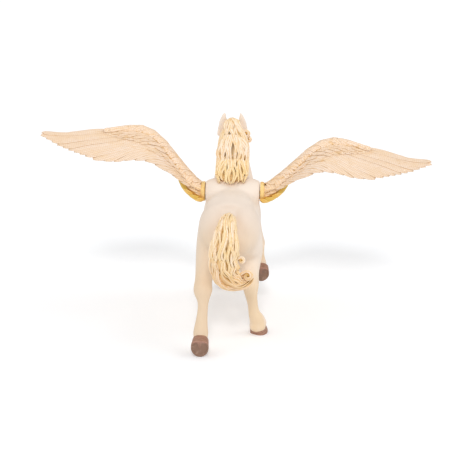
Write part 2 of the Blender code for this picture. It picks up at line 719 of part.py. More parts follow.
def body():
    """The horse without its wings, as one moulding."""
    hooves = (LEFT_HIND_HOOF, RIGHT_HIND_HOOF, LEFT_FORE_HOOF, RIGHT_FORE_HOOF)
    flesh = joined("flesh", [
        trunk(),
        neck(),
        *head(),
        leg("left_hind", LEFT_HIND),
        leg("right_hind", RIGHT_HIND),
        leg("left_fore", LEFT_FORE),
        leg("right_fore", RIGHT_FORE),
        *muscles(),
        *heel_bulbs(),
    ])
    fuse(flesh, FLESH_VOXEL, 8)
    hoof_pieces = [hoof(*placing) for placing in hooves]
    made = joined("body", [flesh, *ears_and_eyes(), *hoof_pieces, *mane(), *tail()])
    fuse(made, BODY_VOXEL, 2)
    thin_out(made, BODY_TRIANGLES)
    tools = [block("ground", at(0, -8, -5), at(60, 130, 10))]
    tools.append(sole_cutter("left_hind_sole", *LEFT_HIND_HOOF))
    tools.append(sole_cutter("right_fore_sole", *RIGHT_FORE_HOOF))
    for name, turn in (("left", -1), ("right", 1)):
        seat = (FLANGE_HALF_LENGTH + 0.8 * MM, FLANGE_HALF_HEIGHT + 0.8 * MM)
        socket = (PEG_HALF_LENGTH + SEAT_GAP, PEG_HALF_HEIGHT + SEAT_GAP)
        deep = WING_PAD_X - PEG_LENGTH - SEAT_GAP
        tools.append(plug(name + "_wing_seat", turn, WING_PAD_X, WING_PAD_X + 6 * MM, *seat))
        tools.append(plug(name + "_wing_socket", turn, deep, WING_PAD_X + 6 * MM, *socket))
    combine(made, tools, "DIFFERENCE")
    return made


def block(name, centre, size):
    bm = bmesh.new()
    bmesh.ops.create_cube(bm, size=1.0)
    placed = Matrix.Translation(centre) @ Matrix.Diagonal((*size, 1.0))
    bmesh.ops.transform(bm, matrix=placed, verts=bm.verts)
    return from_bmesh(name, bm)


# The wing is drawn in millimetres at this length, and on_wing stretches its span to WING_LENGTH.
DRAWN_WING_LENGTH = 92.5

# The wing's leading edge, as span, chord position, height and fall towards the trailing edge.
WING_LINE = spline([
    (0.0, 8.0, 0.3, 0.06),
    (10.0, 9.0, 8.2, 0.10),
    (20.0, 10.5, 18.0, 0.15),
    (30.0, 11.5, 27.2, 0.23),
    (40.0, 11.8, 30.4, 0.28),
    (50.0, 9.5, 29.6, 0.29),
    (65.0, 4.0, 27.9, 0.27),
    (80.0, -3.5, 27.1, 0.25),
    (96.0, -13.8, 30.2, 0.22),
], 6)

# The bony arm along the leading edge, as span, chord position, height, half height and half length.
WING_ARM = [
    (0.0, 0.0, 0.3, 4.9, 7.4),
    (5.0, 0.5, 3.2, 4.7, 7.4),
    (11.0, 1.5, 8.8, 4.0, 7.0),
    (18.0, 3.5, 14.8, 3.1, 6.4),
    (25.0, 6.0, 22.0, 2.8, 5.4),
    (32.0, 8.3, 27.0, 2.4, 4.2),
    (39.0, 9.2, 29.4, 2.1, 3.1),
    (46.0, 8.6, 29.3, 1.8, 2.4),
    (56.0, 5.8, 28.4, 1.1, 1.7),
]

# Feather rows from the wing tip inward, as two ends of a row: tip span, tip chord, length, heading in
# degrees and half width. After each row: how many feathers and how far the row lies above the wing.
FEATHER_ROWS = [
    ("primary", 9, 0.0, (92.5, -12.6, 42.0, -25, 3.3), (66.0, -25.4, 37.0, -39, 3.8)),
    ("secondary", 7, 0.1, (61.5, -26.4, 36.0, -41, 4.0), (27.0, -20.0, 24.0, -54, 4.0)),
    ("tertial", 3, 0.2, (22.5, -18.4, 20.0, -57, 3.6), (13.0, -13.6, 14.0, -68, 3.2)),
    ("greater_covert", 7, 0.8, (62.0, 1.0, 18.0, -24, 2.4), (38.0, -13.4, 17.0, -46, 2.8)),
    ("greater_covert", 4, 0.8, (34.0, -14.4, 16.0, -50, 2.8), (15.5, -11.5, 13.0, -66, 2.8)),
    ("median_covert", 8, 1.2, (60.0, 3.6, 13.0, -18, 2.1), (14.0, -7.5, 11.0, -58, 2.7)),
    ("lesser_covert", 8, 1.4, (54.0, 6.4, 10.0, -13, 2.0), (9.0, -2.5, 9.0, -46, 2.5)),
    ("marginal_covert", 8, 1.2, (47.0, 9.6, 8.5, -8, 1.8), (5.5, 3.4, 7.0, -26, 2.3)),
]


def on_wing(span, chord, rise):
    """A point of the wing as drawn, brought to the wing's real length."""
    return at(span * WING_LENGTH / (DRAWN_WING_LENGTH * MM), chord, rise)


def wing_height(span, chord):
    """Height of the wing above its root, before the arm is laid over it."""
    lead, top, fall = looked_up(WING_LINE, span)
    return top - fall * (lead - chord)


def draped_height(span, chord):
    """Height of the wing with its arm, eased where the two meet."""
    flat = wing_height(span, chord)
    middle, rise, half_height, half_length = looked_up(WING_ARM, span)
    away = abs(chord - middle)
    off = min(1.0, away / half_length)
    bone = rise + 1.2 * half_height * math.sqrt(1 - off * off) - 1.5 * off**4
    bone -= 2 * max(0.0, away - half_length)
    return (flat + bone + math.sqrt((flat - bone) ** 2 + 1.0)) / 2


def wing_surface(span, chord, height=wing_height):
    """Height above the root and the way the upper side faces."""
    slope_out = height(span + 0.5, chord) - height(span - 0.5, chord)
    slope_forward = height(span, chord + 0.5) - height(span, chord - 0.5)
    return height(span, chord), Vector((-slope_out, -slope_forward, 1)).normalized()


def feather(name, span, chord, length, heading, half_width, lift):
    """A flat vane with a raised shaft and a rounded tip, laid on the wing's surface."""
    heading = math.radians(heading)
    along = Vector((math.cos(heading), math.sin(heading)))
    across = Vector((-along.y, along.x))
    root = Vector((span, chord)) - along * length
    height = draped_height if name.endswith("covert") else wing_height
    bulk = 0.45 + length / 48
    tip = 1.5 * half_width / length
    profile = ((-1, 0.1), (-0.5, 0.36), (0, 0.5), (0.5, 0.3), (1, 0), (0.5, -0.45), (-0.5, -0.45))
    stem = [(share * (1 - tip), wide) for share, wide in ((0, 0.62), (0.25, 0.9), (0.5, 1), (0.8, 1))]
    rounded = [(1 - tip + share * tip, wide) for share, wide in ((0, 1), (0.5, 0.87), (0.85, 0.53), (1, 0.1))]
    rings = []
    for share, wide in stem + rounded:
        middle = root + along * length * share - across * FEATHER_BOW * length * 4 * share * (share - 1)
        ring = []
        for v, n in profile:
            spot = middle + across * half_width * wide * v
            rise, normal = wing_surface(*spot, height)
            off = lift + bulk * (n * FEATHER_THICKNESS - v * FEATHER_TILT) / MM
            ring.append(on_wing(*(Vector((*spot, rise)) + normal * off)))
        rings.append(ring)
    return skin(name, rings)


def feathers():
    made = []
    for name, count, lift, outer, inner in FEATHER_ROWS:
        for k in range(count):
            share = k / (count - 1)
            values = [a + (b - a) * share for a, b in zip(outer, inner)]
            made.append(feather(name, *values, lift))
    return made


def membrane():
    """The web of skin behind the arm, from which the feathers grow."""
    rings = []
    for span in range(3, 60, 4):
        lead = looked_up(WING_LINE, span)[0]
        reach = 15 - 0.14 * span
        ring = []
        for share, n in ((0, 0), (0.3, 0.8), (0.7, 0.8), (1, 0), (0.7, -0.5), (0.3, -0.5)):
            chord = lead - 2 - reach * share
            rise, normal = wing_surface(span, chord)
            ring.append(on_wing(*(Vector((span, chord, rise)) + normal * n)))
        rings.append(ring)
    return skin("membrane", rings)


def arm_and_down():
    """The arm that carries the feathers, and the tuft of down under it near the body."""
    rows = []
    for span, chord, rise, half_height, half_length in spline(WING_ARM, 3):
        rows.append((on_wing(span, chord, rise), half_height * MM, half_length * MM))
    rings = []
    for i, (centre, half_height, half_length) in enumerate(rows):
        tangent = (rows[min(i + 1, len(rows) - 1)][0] - rows[max(i - 1, 0)][0]).normalized()
        up = (Vector((0, 0, 1)) - tangent * tangent.z).normalized()
        rings.append(oval(centre, up.cross(tangent), up, half_length, half_height, half_height, 20))
    made = [skin("arm", rings), membrane()]
    for layer in range(2):
        for k in range(3):
            made.append(down_lock(layer, -6.0 + 4.8 * k + 0.8 * layer))
    return made


def down_lock(layer, chord):
    """A soft feather along the underside of the arm near the body."""
    reach = 14.0 - 3.6 * layer
    low = -3.9 - 0.35 * layer + 0.06 * chord
    points = [
        on_wing(0.2, 0.9 * chord, low + 0.6),
        on_wing(0.25 * reach, chord, low - 0.4 + 0.10 * reach),
        on_wing(0.50 * reach, chord - 0.3, low - 0.5 + 0.28 * reach),
        on_wing(0.78 * reach, chord - 0.8, low + 0.5 + 0.46 * reach),
        on_wing(reach, chord - 1.2, low + 2.0 + 0.62 * reach),
    ]
    return strand("down", points, 2.6 * MM, 1.4 * MM, Vector((0.4, -0.2, -1)))


def wing(name, turn, raise_angle):
    """One wing, with the flange and the peg that hold it at the shoulder."""
    made = joined(name, arm_and_down() + feathers())
    raised = Matrix.Rotation(-raise_angle, 4, "Y")
    placed = Matrix.Translation(Vector((WING_PAD_X + SEAT_GAP, WING_ROOT_Y, WING_ROOT_Z))) @ raised
    made.data.transform(Matrix.Diagonal((turn, 1, 1, 1)) @ placed)
    if turn < 0:
        made.data.flip_normals()
    fuse(made, WING_VOXEL, 1)
    thin_out(made, WING_TRIANGLES)
    inner = WING_PAD_X + SEAT_GAP
    flange = plug(
        name + "_flange",
        turn,
        inner,
        inner + FLANGE_THICKNESS,
        FLANGE_HALF_LENGTH,
        FLANGE_HALF_HEIGHT,
        0.7 * MM,
    )
    peg = plug(name + "_peg", turn, WING_PAD_X - PEG_LENGTH, inner + 1 * MM, PEG_HALF_LENGTH, PEG_HALF_HEIGHT)
    body_side = Vector((turn * (FEATHERS_START_X - 10 * MM), WING_ROOT_Y, WING_ROOT_Z))
    clear_of_body = block(name + "_root", body_side, at(20, 60, 60))
    combine(made, [clear_of_body], "DIFFERENCE")
    combine(made, [flange, peg], "UNION")
    return made


def paint(obj, name, color, roughness):
    material = bpy.data.materials.new(name)
    material.use_nodes = True
    shader = material.node_tree.nodes["Principled BSDF"]
    shader.inputs["Base Color"].default_value = (*color, 1.0)
    shader.inputs["Roughness"].default_value = roughness
    shader.inputs["Metallic"].default_value = 0.0
    material.diffuse_color = (*color, 1.0)
    obj.data.materials.clear()
    obj.data.materials.append(material)


def stand_on_origin(pieces):
    """Puts the middle of the whole figurine over the origin, with the lowest hoof on z = 0."""
    points = [vertex.co.copy() for obj in pieces for vertex in evaluated_mesh(obj).vertices]
    low = [min(point[axis] for point in points) for axis in range(3)]
    high = [max(point[axis] for point in points) for axis in range(3)]
    root = bpy.data.objects.new("pegasus", None)
    bpy.context.scene.collection.objects.link(root)
    for obj in bpy.data.objects:
        if obj is not root:
            obj.parent = root
    root.location = (-(low[0] + high[0]) / 2, -(low[1] + high[1]) / 2, -low[2])


def main():
    clear_scene()
    bpy.context.scene.collection.children.link(bpy.data.collections.new("tools"))
    pieces = [
        body(),
        wing("left_wing", -1, LEFT_WING_RAISE),
        wing("right_wing", 1, RIGHT_WING_RAISE),
    ]
    paint(pieces[0], "cream_vinyl", (0.85, 0.74, 0.62), 0.55)
    paint(pieces[1], "left_wing_vinyl", (0.84, 0.69, 0.46), 0.55)
    paint(pieces[2], "right_wing_vinyl", (0.84, 0.69, 0.46), 0.55)
    stand_on_origin(pieces)


main()
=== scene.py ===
"""Finished look of the winged horse figurine: fine skin, carved hair, feathers and paint."""

import math
import random

import bmesh
import bpy
import numpy as np
from mathutils import Matrix, Vector
from mathutils.bvhtree import BVHTree


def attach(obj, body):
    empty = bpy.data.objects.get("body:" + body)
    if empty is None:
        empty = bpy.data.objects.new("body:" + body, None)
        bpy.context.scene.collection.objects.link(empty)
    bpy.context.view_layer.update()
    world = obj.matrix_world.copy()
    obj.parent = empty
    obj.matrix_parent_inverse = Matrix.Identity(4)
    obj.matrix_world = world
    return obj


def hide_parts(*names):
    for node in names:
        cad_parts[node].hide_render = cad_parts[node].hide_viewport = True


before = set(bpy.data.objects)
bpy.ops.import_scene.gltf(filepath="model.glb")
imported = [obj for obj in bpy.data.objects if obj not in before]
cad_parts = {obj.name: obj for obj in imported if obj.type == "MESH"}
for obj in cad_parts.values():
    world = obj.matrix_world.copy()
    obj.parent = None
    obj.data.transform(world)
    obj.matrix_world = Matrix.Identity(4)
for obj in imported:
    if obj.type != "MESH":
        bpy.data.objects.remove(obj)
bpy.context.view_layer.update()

MM = 0.001

# The horse is modelled about the middle of its back, and this brings it to the part's origin.
FIGURE_SHIFT = Vector((-2.33, 2.68, 0.0)) * MM

# Body, as in the part's source
CROUP_HEIGHT = 76.5 * MM
BACK_HEIGHT = 73.6 * MM
WITHERS_HEIGHT = 77.0 * MM
BELLY_HEIGHT = 41.0 * MM
HIP_HALF_WIDTH = 15.6 * MM
BARREL_HALF_WIDTH = 16.2 * MM
SHOULDER_HALF_WIDTH = 13.6 * MM
BUTTOCK_Y = -41.0 * MM
HIP_Y = -26.0 * MM
WITHERS_Y = 21.0 * MM
CHEST_Y = 43.0 * MM
POLL = Vector((0.0, 38.0, 100.5)) * MM
NECK_HALF_WIDTH = 7.6 * MM
HEAD_LENGTH = 29.0 * MM
HEAD_HALF_WIDTH = 6.0 * MM
HEAD_PITCH = math.radians(-52)
HEAD_YAW = math.radians(8)
EAR_HEIGHT = 10.0 * MM
EYE_RADIUS = 1.3 * MM
CANNON_RADIUS = 2.5 * MM
HOOF_HALF_WIDTH = 4.6 * MM
HOOF_HALF_LENGTH = 5.0 * MM
SOLE_RECESS = 0.7 * MM

# Wings, as in the part's source
WING_PAD_X = 15.3 * MM
WING_ROOT_Y = 18.0 * MM
WING_ROOT_Z = 69.0 * MM
LEFT_WING_RAISE = math.radians(4.6)
RIGHT_WING_RAISE = math.radians(-4.6)
FLANGE_HALF_HEIGHT = 5.4 * MM
FLANGE_HALF_LENGTH = 8.0 * MM
FLANGE_THICKNESS = 2.4 * MM
SEAT_GAP = 0.3 * MM
FEATHER_THICKNESS = 1.0 * MM
FEATHER_TILT = 0.34 * MM
FEATHER_BOW = 0.05

# Surface resolution
FLESH_VOXEL = 0.8 * MM
SKIN_VOXEL = 0.42 * MM
ARM_VOXEL = 0.5 * MM
SKIN_TRIANGLES = 150000

X_AXIS = Vector((1, 0, 0))
Y_AXIS = Vector((0, 1, 0))
Z_AXIS = Vector((0, 0, 1))


def at(x, y, z):
    """A point given in millimetres."""
    return Vector((x, y, z)) * MM


def srgb(red, green, blue):
    """A colour as it looks in the photo, from 0 to 255, made linear for a shader."""
    def linear(value):
        value /= 255
        return value / 12.92 if value <= 0.04045 else ((value + 0.055) / 1.055) ** 2.4

    return (linear(red), linear(green), linear(blue), 1.0)


# Shapes


def new_object(name, mesh):
    obj = bpy.data.objects.new(name, mesh)
    bpy.context.scene.collection.objects.link(obj)
    return obj


def from_bmesh(name, bm):
    bmesh.ops.recalc_face_normals(bm, faces=bm.faces)
    mesh = bpy.data.meshes.new(name)
    bm.to_mesh(mesh)
    bm.free()
    return new_object(name, mesh)


def evaluated_mesh(obj):
    bpy.context.view_layer.update()
    graph = bpy.context.evaluated_depsgraph_get()
    return bpy.data.meshes.new_from_object(obj.evaluated_get(graph))


def joined(name, objects):
    """One object that holds all these shapes, which are removed."""
    bm = bmesh.new()
    for obj in objects:
        mesh = evaluated_mesh(obj)
        bm.from_mesh(mesh)
        bpy.data.meshes.remove(mesh)
        bpy.data.objects.remove(obj)
    mesh = bpy.data.meshes.new(name)
    bm.to_mesh(mesh)
    bm.free()
    return new_object(name, mesh)


def settle(obj):
    """Applies the modifiers so far."""
    mesh = evaluated_mesh(obj)
    obj.modifiers.clear()
    obj.data = mesh


def fuse(obj, voxel, smoothing):
    """Blends overlapping shapes into one skin, like clay, and smooths the creases between them."""
    remesh = obj.modifiers.new("fuse", "REMESH")
    remesh.mode = "VOXEL"
    remesh.voxel_size = voxel
    smooth = obj.modifiers.new("smooth", "SMOOTH")
    smooth.factor = 0.5
    smooth.iterations = smoothing
    settle(obj)


def thin_out(obj, triangles):
    count = sum(len(face.vertices) - 2 for face in obj.data.polygons)
    decimate = obj.modifiers.new("thin_out", "DECIMATE")
    decimate.ratio = min(1.0, triangles / count)
    settle(obj)


def tangents(points):
    """The way that a line of points runs at each of them."""
    last = len(points) - 1
    return [(points[min(i + 1, last)] - points[max(i - 1, 0)]).normalized() for i in range(last + 1)]


def square_to(way, tangent):
    """The direction nearest to this way that is square to the tangent."""
    return (way - tangent * way.dot(tangent)).normalized()


def spline(rows, steps):
    """Rows of numbers resampled along a Catmull-Rom curve, with this many steps between two rows."""
    made = []
    last = len(rows) - 1
    for i in range(last):
        a, b, c, d = (rows[min(max(k, 0), last)] for k in (i - 1, i, i + 1, i + 2))
        for step in range(steps):
            t = step / steps
            made.append(tuple(
                q + 0.5 * t * (r - p + t * (2 * p - 5 * q + 4 * r - s + t * (3 * q - p - 3 * r + s)))
                for p, q, r, s in zip(a, b, c, d)
            ))
    made.append(tuple(rows[last]))
    return made


def looked_up(rows, x):
    """The row at x between rows sorted by their first number, without that number."""
    x = min(max(x, rows[0][0]), rows[-1][0])
    for low, high in zip(rows, rows[1:]):
        if x <= high[0]:
            share = (x - low[0]) / (high[0] - low[0])
            return [a + (b - a) * share for a, b in zip(low[1:], high[1:])]


def oval(centre, side, front, half_width, front_radius, back_radius, sides, power=2.0):
    """An oval ring, whose front and back halves may differ in depth."""
    points = []
    for k in range(sides):
        angle = math.tau * k / sides
        across = math.copysign(abs(math.cos(angle)) ** (2 / power), math.cos(angle)) * half_width
        along = math.copysign(abs(math.sin(angle)) ** (2 / power), math.sin(angle))
        along *= front_radius if along > 0 else back_radius
        points.append(centre + side * across + front * along)
    return points


def loft(name, rows, sides, power=2.0):
    """A limb or trunk over oval rings. A row is x, y, z, half width, front radius, back radius."""
    rows = spline(rows, 4)
    centres = [Vector(row[:3]) for row in rows]
    rings = []
    for centre, tangent, row in zip(centres, tangents(centres), rows):
        side = square_to(X_AXIS, tangent)
        rings.append(oval(centre, side, side.cross(tangent), *row[3:], sides, power))
    return skin(name, rings)


def ellipsoid(name, centre, radii, pitch=0.0, yaw=0.0):
    """A muscle or a bulge. Pitch turns it about X, then yaw about Z."""
    bm = bmesh.new()
    bmesh.ops.create_uvsphere(bm, u_segments=24, v_segments=16, radius=1.0)
    turn = Matrix.Rotation(yaw, 4, "Z") @ Matrix.Rotation(pitch, 4, "X")
    placed = Matrix.Translation(centre) @ turn @ Matrix.Diagonal((*radii, 1.0))
    bmesh.ops.transform(bm, matrix=placed, verts=bm.verts)
    return from_bmesh(name, bm)


class Gathered:
    """Closed forms gathered into one mesh, each a stack of rings, with three numbers a vertex."""

    def __init__(self):
        self.points = []
        self.faces = []
        self.traits = []

    def add(self, rings, traits=()):
        start = len(self.points)
        sides = len(rings[0])
        for ring in rings:
            self.points += [tuple(point) for point in ring]
        for values in traits:
            self.traits += values
        for i in range(len(rings) - 1):
            for k in range(sides):
                a = start + i * sides + k
                b = start + i * sides + (k + 1) % sides
                self.faces.append((a, b, b + sides, a + sides))
        self.faces.append(tuple(range(start + sides - 1, start - 1, -1)))
        last = start + (len(rings) - 1) * sides
        self.faces.append(tuple(range(last, last + sides)))

    def build(self, name):
        mesh = bpy.data.meshes.new(name)
        mesh.from_pydata(self.points, [], self.faces)
        if self.traits:
            put_values(mesh, "trait", self.traits)
        bm = bmesh.new()
        bm.from_mesh(mesh)
        bmesh.ops.recalc_face_normals(bm, faces=bm.faces)
        bm.to_mesh(mesh)
        bm.free()
        return new_object(name, mesh)


def skin(name, rings):
    """A closed skin over rings of points, one ring after the other."""
    gathered = Gathered()
    gathered.add(rings)
    return gathered.build(name)


def put_values(mesh, name, values):
    """Stores three numbers for each vertex, for the material to read."""
    attribute = mesh.attributes.new(name, "FLOAT_VECTOR", "POINT")
    attribute.data.foreach_set("vector", np.asarray(values, dtype=np.float32).ravel())


def vertex_numbers(values, key):
    """Three numbers a vertex, such as its place or normal, as one array."""
    flat = np.empty(len(values) * 3, dtype=np.float32)
    values.foreach_get(key, flat)
    return flat.reshape(-1, 3)


def places_and_normals(mesh):
    return vertex_numbers(mesh.vertices, "co"), vertex_numbers(mesh.vertex_normals, "vector")


def tree_of(objects):
    """One search tree over the triangles of several objects."""
    points, faces = [], []
    for obj in objects:
        start = len(points)
        points += [tuple(vertex.co) for vertex in obj.data.vertices]
        faces += [tuple(start + k for k in face.vertices) for face in obj.data.polygons]
    return BVHTree.FromPolygons(points, faces)


# The rays that feel for recesses: their lean from the normal, how many lean, how much their sum is raised,
# and how far they reach
RECESS_LEAN = 1.1
RECESS_RAYS = 5
RECESS_GAIN = 1.8
SKIN_RECESS = 3.0 * MM
HAIR_RECESS = 1.5 * MM
FEATHER_RECESS = 1.6 * MM


def shade_recesses(obj, tree, reach):
    """Stores how much of the space above each vertex is closed in, which the paints turn into painted
    shade, and on the hair and wings also into a settled wash of paint.
    """
    points, facing = places_and_normals(obj.data)
    closed = np.zeros(len(points))
    leans = [(0.0, 0.0)] + [(RECESS_LEAN, math.tau * k / RECESS_RAYS) for k in range(RECESS_RAYS)]
    for i, (point, normal) in enumerate(zip(points, facing)):
        normal = Vector(normal)
        side = normal.orthogonal().normalized()
        other = normal.cross(side)
        start = Vector(point) + normal * reach * 0.03
        for lean, angle in leans:
            way = normal + (side * math.cos(angle) + other * math.sin(angle)) * lean
            distance = tree.ray_cast(start, way, reach)[3]
            if distance is not None:
                closed[i] += 1 - distance / reach
    closed = np.clip(closed / len(leans) * RECESS_GAIN, 0, 1)
    put_values(obj.data, "recess", np.stack([closed] * 3, axis=1))


def finish_piece(obj, material, replaced=None):
    """Smooths the shading, paints the piece, moves it to the part's frame and hangs it on the frame."""
    for face in obj.data.polygons:
        face.use_smooth = True
    obj.data.materials.clear()
    obj.data.materials.append(material)
    obj.data.transform(Matrix.Translation(FIGURE_SHIFT))
    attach(obj, "root")
    if replaced:
        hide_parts(replaced)


# Body


def trunk():
    """Rump, barrel and chest, as egg-shaped rings from the buttocks forward."""
    top, low, wide = CROUP_HEIGHT, BELLY_HEIGHT, HIP_HALF_WIDTH
    sections = [
        # y, top, bottom, half width
        (BUTTOCK_Y, top - 9 * MM, low + 17 * MM, wide * 0.34),
        (BUTTOCK_Y + 2.5 * MM, top - 5 * MM, low + 11 * MM, wide * 0.68),
        (BUTTOCK_Y + 7 * MM, top - 1.6 * MM, low + 5 * MM, wide * 0.90),
        (HIP_Y, top, low + 3 * MM, wide * 0.98),
        (HIP_Y + 8 * MM, top + 0.2 * MM, low + 3 * MM, wide * 0.98),
        (HIP_Y * 0.3, (top + BACK_HEIGHT) / 2, low + 2.4 * MM, BARREL_HALF_WIDTH * 0.93),
        (2 * MM, BACK_HEIGHT, low + 0.8 * MM, BARREL_HALF_WIDTH * 0.99),
        (11 * MM, BACK_HEIGHT + 0.8 * MM, low, BARREL_HALF_WIDTH),
        (WITHERS_Y, WITHERS_HEIGHT, low + 1 * MM, BARREL_HALF_WIDTH * 0.92),
        (WITHERS_Y + 8 * MM, WITHERS_HEIGHT - 1 * MM, low + 3 * MM, SHOULDER_HALF_WIDTH),
        (CHEST_Y - 7 * MM, WITHERS_HEIGHT - 4.5 * MM, low + 6 * MM, SHOULDER_HALF_WIDTH * 0.86),
        (CHEST_Y - 2 * MM, WITHERS_HEIGHT - 9 * MM, low + 10 * MM, SHOULDER_HALF_WIDTH * 0.62),
        (CHEST_Y, WITHERS_HEIGHT - 13 * MM, low + 15 * MM, SHOULDER_HALF_WIDTH * 0.3),
    ]
    rows = []
    for y, high, bottom, half_width in sections:
        middle = high * 0.48 + bottom * 0.52
        rows.append((0, y, middle, half_width, high - middle, middle - bottom))
    return loft("trunk", rows, sides=40, power=2.25)


def neck():
    """From deep in the chest up to the poll. The front radius of a ring is its crest."""
    base = Vector((0, WITHERS_Y + 5 * MM, WITHERS_HEIGHT - 13 * MM))
    reach = POLL - base
    sections = [
        # forward share, upward share, half width, crest, throat, in neck half widths
        (0.00, 0.00, 1.60, 2.10, 2.10),
        (0.38, 0.22, 1.52, 1.75, 1.90),
        (0.68, 0.44, 1.26, 1.45, 1.55),
        (0.86, 0.66, 0.98, 1.20, 1.25),
        (0.96, 0.84, 0.74, 1.00, 1.05),
        (1.00, 0.99, 0.64, 0.74, 0.80),
    ]
    rows = []
    for forward, upward, wide, crest, throat in sections:
        centre = (0, base.y + reach.y * forward, base.z + reach.z * upward)
        rows.append((*centre, *(NECK_HALF_WIDTH * radius for radius in (wide, crest, throat))))
    return loft("neck", rows, sides=32)


def on_head(along, forehead, side=0.0):
    """A point on the head: a share of its length from the poll, and distances off its axis."""
    axis = Vector((0, math.cos(HEAD_PITCH), math.sin(HEAD_PITCH)))
    normal = Vector((0, -math.sin(HEAD_PITCH), math.cos(HEAD_PITCH)))
    turned = Matrix.Rotation(HEAD_YAW, 3, "Z")
    return POLL + turned @ (axis * HEAD_LENGTH * along + normal * forehead + X_AXIS * side)


def head():
    """Skull, cheeks, brows, nose and lips. The front radius of a ring is the forehead side."""
    sections = [
        # share of the length, half width, forehead, jaw, in head half widths
        (-0.10, 0.62, 0.70, 0.66),
        (0.06, 0.92, 0.98, 1.05),
        (0.20, 1.00, 1.06, 1.38),
        (0.36, 0.94, 1.00, 1.42),
        (0.52, 0.74, 0.84, 1.08),
        (0.68, 0.57, 0.70, 0.82),
        (0.82, 0.54, 0.62, 0.74),
        (0.92, 0.60, 0.58, 0.76),
        (0.99, 0.52, 0.44, 0.66),
        (1.04, 0.28, 0.20, 0.34),
    ]
    rows = []
    for along, wide, forehead, jaw in sections:
        radii = (HEAD_HALF_WIDTH * radius for radius in (wide, forehead, jaw))
        rows.append((*on_head(along, 0), *radii))
    made = [loft("skull", rows, sides=32)]
    made.append(ellipsoid("chin", on_head(0.90, -4.0 * MM), at(2.2, 2.4, 1.7), HEAD_PITCH, HEAD_YAW))
    for turn in (-1, 1):
        cheek = on_head(0.25, -2.8 * MM, turn * 3.9 * MM)
        brow = on_head(0.24, 3.6 * MM, turn * 3.9 * MM)
        made.append(ellipsoid("cheek", cheek, at(3.2, 5.6, 5.0), HEAD_PITCH, HEAD_YAW))
        made.append(ellipsoid("brow", brow, at(1.9, 2.9, 1.9), HEAD_PITCH, HEAD_YAW))
    return made


def ears():
    """Pointed ears with a hollow front."""
    made = []
    for turn in (-1, 1):
        base = on_head(0.03, 1.2 * MM, (turn * 6.5 - 0.6) * MM)
        lean = Vector((turn * -0.20, -0.06, 1.0))
        rows = []
        for share, wide in ((-0.4, 1.9), (-0.1, 2.2), (0.2, 2.3), (0.5, 2.2), (0.78, 1.5), (1.0, 0.5)):
            hollow = -0.15 if 0.1 < share < 0.9 else 0.3
            centre = base + lean * EAR_HEIGHT * share * (1.0 if turn < 0 else 0.95)
            rows.append((*centre, wide * MM, wide * 0.62 * MM, wide * hollow * MM))
        made.append(loft("ear", rows, sides=24))
    return made


# Each leg runs from the trunk down to inside its hoof, as x, y, z in millimetres and then
# half width, front and back radius in cannon radii.
LEFT_HIND = [
    (-9.0, -24.0, 61.0, 3.10, 5.20, 5.60),
    (-10.6, -24.5, 53.0, 2.90, 4.60, 4.80),
    (-11.9, -26.5, 46.0, 2.55, 3.30, 3.70),
    (-12.8, -30.5, 39.5, 2.20, 2.40, 2.60),
    (-13.6, -35.5, 33.8, 1.90, 1.75, 1.95),
    (-13.8, -39.8, 29.2, 2.05, 1.65, 2.15),
    (-13.5, -42.6, 24.4, 1.24, 1.35, 1.45),
    (-13.8, -45.6, 18.6, 1.18, 1.10, 1.15),
    (-14.2, -48.6, 13.6, 1.42, 1.22, 1.30),
    (-14.4, -50.6, 10.4, 1.62, 1.42, 1.52),
    (-14.4, -52.6, 7.8, 1.56, 1.25, 1.35),
    (-14.4, -54.4, 6.0, 1.55, 1.30, 1.40),
]
RIGHT_HIND = [
    (8.6, -24.0, 61.0, 3.05, 5.20, 5.60),
    (10.2, -21.0, 53.0, 2.85, 4.70, 4.90),
    (10.4, -18.6, 46.0, 2.95, 3.50, 3.80),
    (10.2, -19.8, 39.5, 2.65, 2.60, 2.70),
    (10.8, -23.6, 33.8, 2.02, 1.85, 2.00),
    (11.3, -27.4, 28.8, 1.86, 1.65, 2.10),
    (11.6, -28.4, 24.0, 1.46, 1.40, 1.45),
    (12.5, -28.0, 18.0, 1.16, 1.15, 1.15),
    (13.3, -27.4, 12.6, 1.30, 1.20, 1.25),
    (14.5, -26.8, 9.6, 1.66, 1.40, 1.50),
    (15.3, -25.9, 7.0, 1.84, 1.40, 1.50),
    (15.9, -25.0, 4.6, 1.86, 1.40, 1.50),
]
LEFT_FORE = [
    (-8.6, 25.0, 60.0, 2.30, 4.40, 4.60),
    (-9.4, 26.2, 52.0, 2.10, 3.50, 3.80),
    (-8.8, 29.2, 44.0, 1.70, 2.35, 2.55),
    (-7.8, 33.4, 36.0, 1.42, 1.70, 1.80),
    (-6.8, 37.2, 29.6, 1.28, 1.40, 1.45),
    (-6.3, 39.2, 25.6, 1.42, 1.55, 1.35),
    (-5.9, 41.0, 21.6, 1.12, 1.20, 1.20),
    (-5.4, 44.0, 16.0, 0.95, 1.05, 1.05),
    (-5.0, 46.4, 11.6, 1.05, 1.15, 1.15),
    (-4.8, 47.8, 9.0, 1.28, 1.30, 1.45),
    (-4.6, 49.4, 6.6, 1.12, 1.20, 1.25),
    (-4.4, 50.8, 4.4, 1.25, 1.30, 1.40),
]
